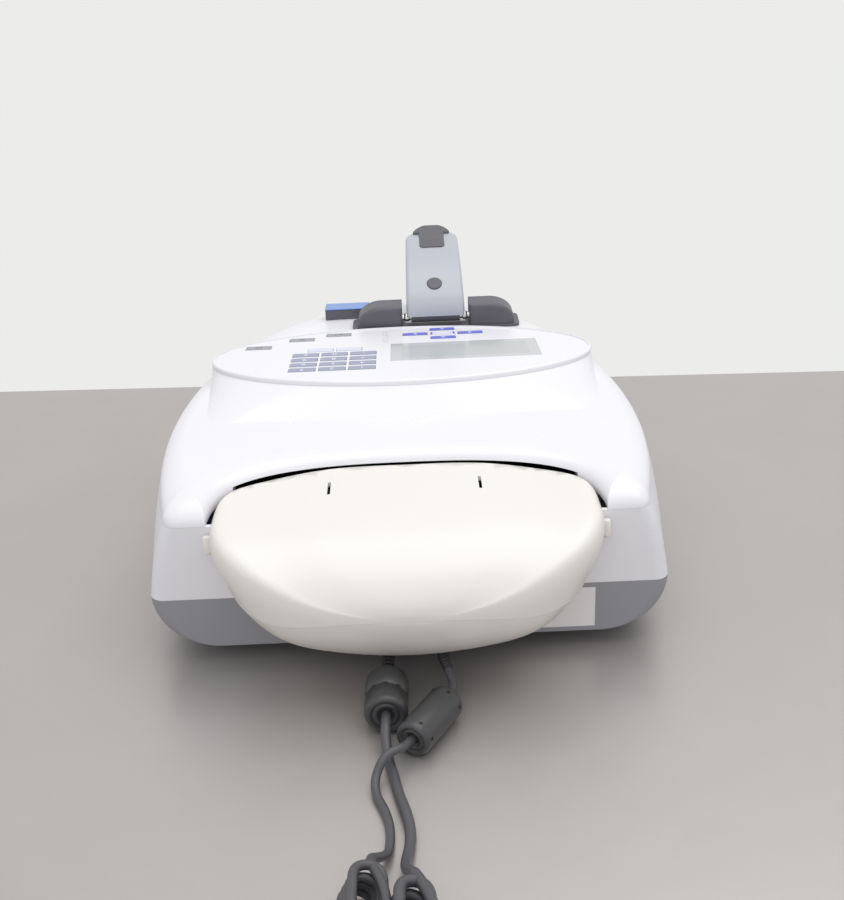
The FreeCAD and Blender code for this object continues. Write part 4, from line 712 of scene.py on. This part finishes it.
def slot_ring(name, foot, along, distance, radius, count, size, first, body):
    """Small dark slots set evenly round a barrel, laid out by a node tree."""
    tree = bpy.data.node_groups.new(name + "_tree", "GeometryNodeTree")
    tree.interface.new_socket("Geometry", in_out="INPUT", socket_type="NodeSocketGeometry")
    tree.interface.new_socket("Geometry", in_out="OUTPUT", socket_type="NodeSocketGeometry")
    sockets = {}
    for label, kind in (("Slots", "NodeSocketInt"), ("Radius", "NodeSocketFloat"),
                        ("Slot Size", "NodeSocketVector")):
        sockets[label] = tree.interface.new_socket(label, in_out="INPUT", socket_type=kind).identifier
    given = tree.nodes.new("NodeGroupInput")
    result = tree.nodes.new("NodeGroupOutput")
    circle = tree.nodes.new("GeometryNodeMeshCircle")
    pin = tree.nodes.new("GeometryNodeMeshCube")
    spread = tree.nodes.new("GeometryNodeInstanceOnPoints")
    place = tree.nodes.new("GeometryNodeInputPosition")
    facing = tree.nodes.new("FunctionNodeAlignRotationToVector")
    plain = tree.nodes.new("GeometryNodeRealizeInstances")
    coloured = tree.nodes.new("GeometryNodeSetMaterial")
    facing.axis = "X"
    coloured.inputs["Material"].default_value = slot_black
    for giver, out, taker, into in (
            (given, "Slots", circle, "Vertices"), (given, "Radius", circle, "Radius"),
            (given, "Slot Size", pin, "Size"), (circle, "Mesh", spread, "Points"),
            (pin, "Mesh", spread, "Instance"), (place, "Position", facing, "Vector"),
            (facing, "Rotation", spread, "Rotation"), (spread, "Instances", plain, "Geometry"),
            (plain, "Geometry", coloured, "Geometry"), (coloured, "Geometry", result, "Geometry")):
        tree.links.new(giver.outputs[out], taker.inputs[into])
    maker = bpy.data.objects.new(name + "_maker", bpy.data.meshes.new(name + "_maker"))
    layout = maker.modifiers.new("slots", "NODES")
    layout.node_group = tree
    layout[sockets["Slots"]] = count
    layout[sockets["Radius"]] = radius * MM
    layout[sockets["Slot Size"]] = [value * MM for value in size]
    turn = along.to_track_quat("Z", "Y").to_matrix().to_4x4()
    maker.matrix_world = (Matrix.Translation(foot + along * distance * MM) @ turn
                          @ Matrix.Rotation(math.radians(first), 4, "Z"))
    return settled(maker, name, slot_black, body)


power_slots = slot_ring("power_slots", power_foot, power_along, 15.0, 9.55, 10, (0.6, 1.8, 0.8), 18.0,
                        "case")
usb_holes = [slot_ring("usb_holes_" + str(k), usb_foot, usb_along, distance, 8.05, 6, (0.6, 1.5, 1.5),
                       10.0, "case")
             for k, distance in enumerate((4.0, 29.0))]


# Tie. A black hook-and-loop strap holds both hanks together at their middle, wrapped once and pressed
# closed on itself.
TIE_MIDDLE, TIE_WIDE = 352.0, 12.0
TIE_LEFT, TIE_RIGHT = -8.9, 33.0
TIE_LOW, TIE_HIGH = 0.9, 24.6
TIE_CORNER = 3.5
TIE_STEPS = 6
loop = []
for x, z, first in ((TIE_RIGHT - TIE_CORNER, TIE_HIGH - TIE_CORNER, 0),
                    (TIE_LEFT + TIE_CORNER, TIE_HIGH - TIE_CORNER, 90),
                    (TIE_LEFT + TIE_CORNER, TIE_LOW + TIE_CORNER, 180),
                    (TIE_RIGHT - TIE_CORNER, TIE_LOW + TIE_CORNER, 270)):
    for i in range(TIE_STEPS + 1):
        turn = math.radians(first + 90 * i / TIE_STEPS)
        loop.append((x + TIE_CORNER * math.cos(turn), z + TIE_CORNER * math.sin(turn)))
strap = bmesh.new()
front_edge, rear_edge = [[strap.verts.new((x * MM, y * MM, z * MM)) for x, z in loop]
                         for y in (TIE_MIDDLE - TIE_WIDE / 2, TIE_MIDDLE + TIE_WIDE / 2)]
for i in range(len(loop)):
    j = (i + 1) % len(loop)
    strap.faces.new((front_edge[i], front_edge[j], rear_edge[j], rear_edge[i]))
bmesh.ops.recalc_face_normals(strap, faces=strap.faces)
strap_mesh = bpy.data.meshes.new("tie_maker")
strap.to_mesh(strap_mesh)
strap_maker = bpy.data.objects.new("tie_maker", strap_mesh)
web = strap_maker.modifiers.new("web", "SOLIDIFY")
web.thickness = 0.8 * MM
web.offset = 1.0


STRAP_COLOUR = paint(40, 40, 42)


def looped(place, colouring):
    pile = place.node("ShaderNodeTexVoronoi", None, {"Vector": place, "Scale": 1400.0})
    return (pile * 0.8).blend(deeper(STRAP_COLOUR, 0.7), colouring)


tie_black = moulded("tie_black", STRAP_COLOUR, 0.8, grain=0.4, depth=0.2, extra=looped)
hank_tie = settled(strap_maker, "hank_tie", tie_black, "case")

for piece, exit_at, line, thick, nodes, with_pieces, far_end in (
        (power_lead, POWER_ROUTE[0], power_line, POWER_LEAD, ("power_cord", "power_hank"),
         [power_boot, power_tail, power_barrel, power_slots, hank_tie, solids["power_plug"],
          solids["power_connector"]], "connector"),
        (usb_lead, USB_ROUTE[0], usb_line, USB_LEAD, ("usb_cord", "usb_hank"),
         [usb_boot, usb_tail, usb_barrel, *usb_holes, solids["usb_plug"], solids["usb_connector"]],
         "plug")):
    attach(piece, "case")
    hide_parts(*nodes)
    tuple(value * MM for value in exit_at)
    round(run_length(line), 2)
    thick * MM


# Bench and light. The instrument stands on a pale satin steel bench top whose far edge shows behind it.
# A wide panel overhead and a weaker one behind the camera light it softly, before a pale wall.
bench = bmesh.new()
BENCH_CORNERS = ((-1.3, -0.1582), (1.3, -0.2825), (1.3, 1.3), (-1.3, 1.3))
BENCH_THICK = 0.025
underside = [bench.verts.new((x, y, -BENCH_THICK)) for x, y in BENCH_CORNERS]
top = [bench.verts.new((x, y, 0.0)) for x, y in BENCH_CORNERS]
bench.faces.new(list(reversed(underside)))
bench.faces.new(top)
for i in range(len(BENCH_CORNERS)):
    j = (i + 1) % len(BENCH_CORNERS)
    bench.faces.new((underside[i], underside[j], top[j], top[i]))
bmesh.ops.recalc_face_normals(bench, faces=bench.faces)
bench_data = bpy.data.meshes.new("bench")
bench.to_mesh(bench_data)
bench_top = bpy.data.objects.new("bench", bench_data)
root.objects.link(bench_top)
rounded = bench_top.modifiers.new("rounded", "BEVEL")
rounded.width = 2 * MM
rounded.segments = 3


def worn(place, colouring):
    stains = place.node("ShaderNodeTexNoise", None, {"Vector": place, "Scale": 7.0, "Detail": 6.0,
                                                     "Roughness": 0.7})
    return (stains * 0.5).blend(colouring, paint(168, 164, 162))


bench_data.materials.append(moulded("bench_steel", paint(188, 184, 182), 0.36, grain=1.2, depth=0.01,
                                    tone=0.03, extra=worn, metal=0.5))

world = bpy.data.worlds.new("room")
bpy.context.scene.world = world
world.use_nodes = True
world.node_tree.nodes.clear()
air = Shade(world.node_tree)
seen = [air.node("ShaderNodeLightPath", output=ray) for ray in
        ("Is Camera Ray", "Is Glossy Ray", "Is Transmission Ray")]
wall = air.node("ShaderNodeBackground", None, {"Color": paint(236, 236, 235), "Strength": 1.0})
glow = air.node("ShaderNodeBackground", None, {"Color": (0.95, 0.97, 1.0, 1.0), "Strength": 0.68})
either = air.node("ShaderNodeMath", {"operation": "MAXIMUM"}, {0: seen[0], 1: seen[1]})
either = air.node("ShaderNodeMath", {"operation": "MAXIMUM"}, {0: either, 1: seen[2]})
room = air.node("ShaderNodeMixShader", None, {0: either, 1: glow, 2: wall})
room.node("ShaderNodeOutputWorld", None, {"Surface": room})


def panel(name, at, aim, size, watts, colour):
    lamp = bpy.data.lights.new(name, "AREA")
    lamp.size = size
    lamp.energy = watts
    lamp.color = colour
    holder = bpy.data.objects.new(name, lamp)
    root.objects.link(holder)
    holder.location = at
    holder.rotation_euler = (Vector(aim) - Vector(at)).to_track_quat("-Z", "Y").to_euler()


panel("ceiling_panel", (-0.3, -0.05, 1.55), (0.0, 0.0, 0.05), 1.6, 13.5, (1.0, 0.99, 0.98))
panel("room_panel", (0.3, 1.5, 1.0), (0.0, 0.05, 0.05), 1.4, 3.6, (1.0, 0.99, 0.97))

lens = bpy.data.cameras.new("camera")
lens.lens = 50
lens.sensor_width = 36
viewer = bpy.data.objects.new("camera", lens)
root.objects.link(viewer)
viewer.matrix_world = (Matrix.Translation((-0.0054, 0.6616, 0.344))
                       @ Matrix.Rotation(math.radians(180 - 0.34), 4, "Z")
                       @ Matrix.Rotation(math.radians(90 - 24.5), 4, "X")
                       @ Matrix.Rotation(math.radians(-2.3), 4, "Z"))
bpy.context.scene.camera = viewer
bpy.context.scene.view_settings.view_transform = "Standard"
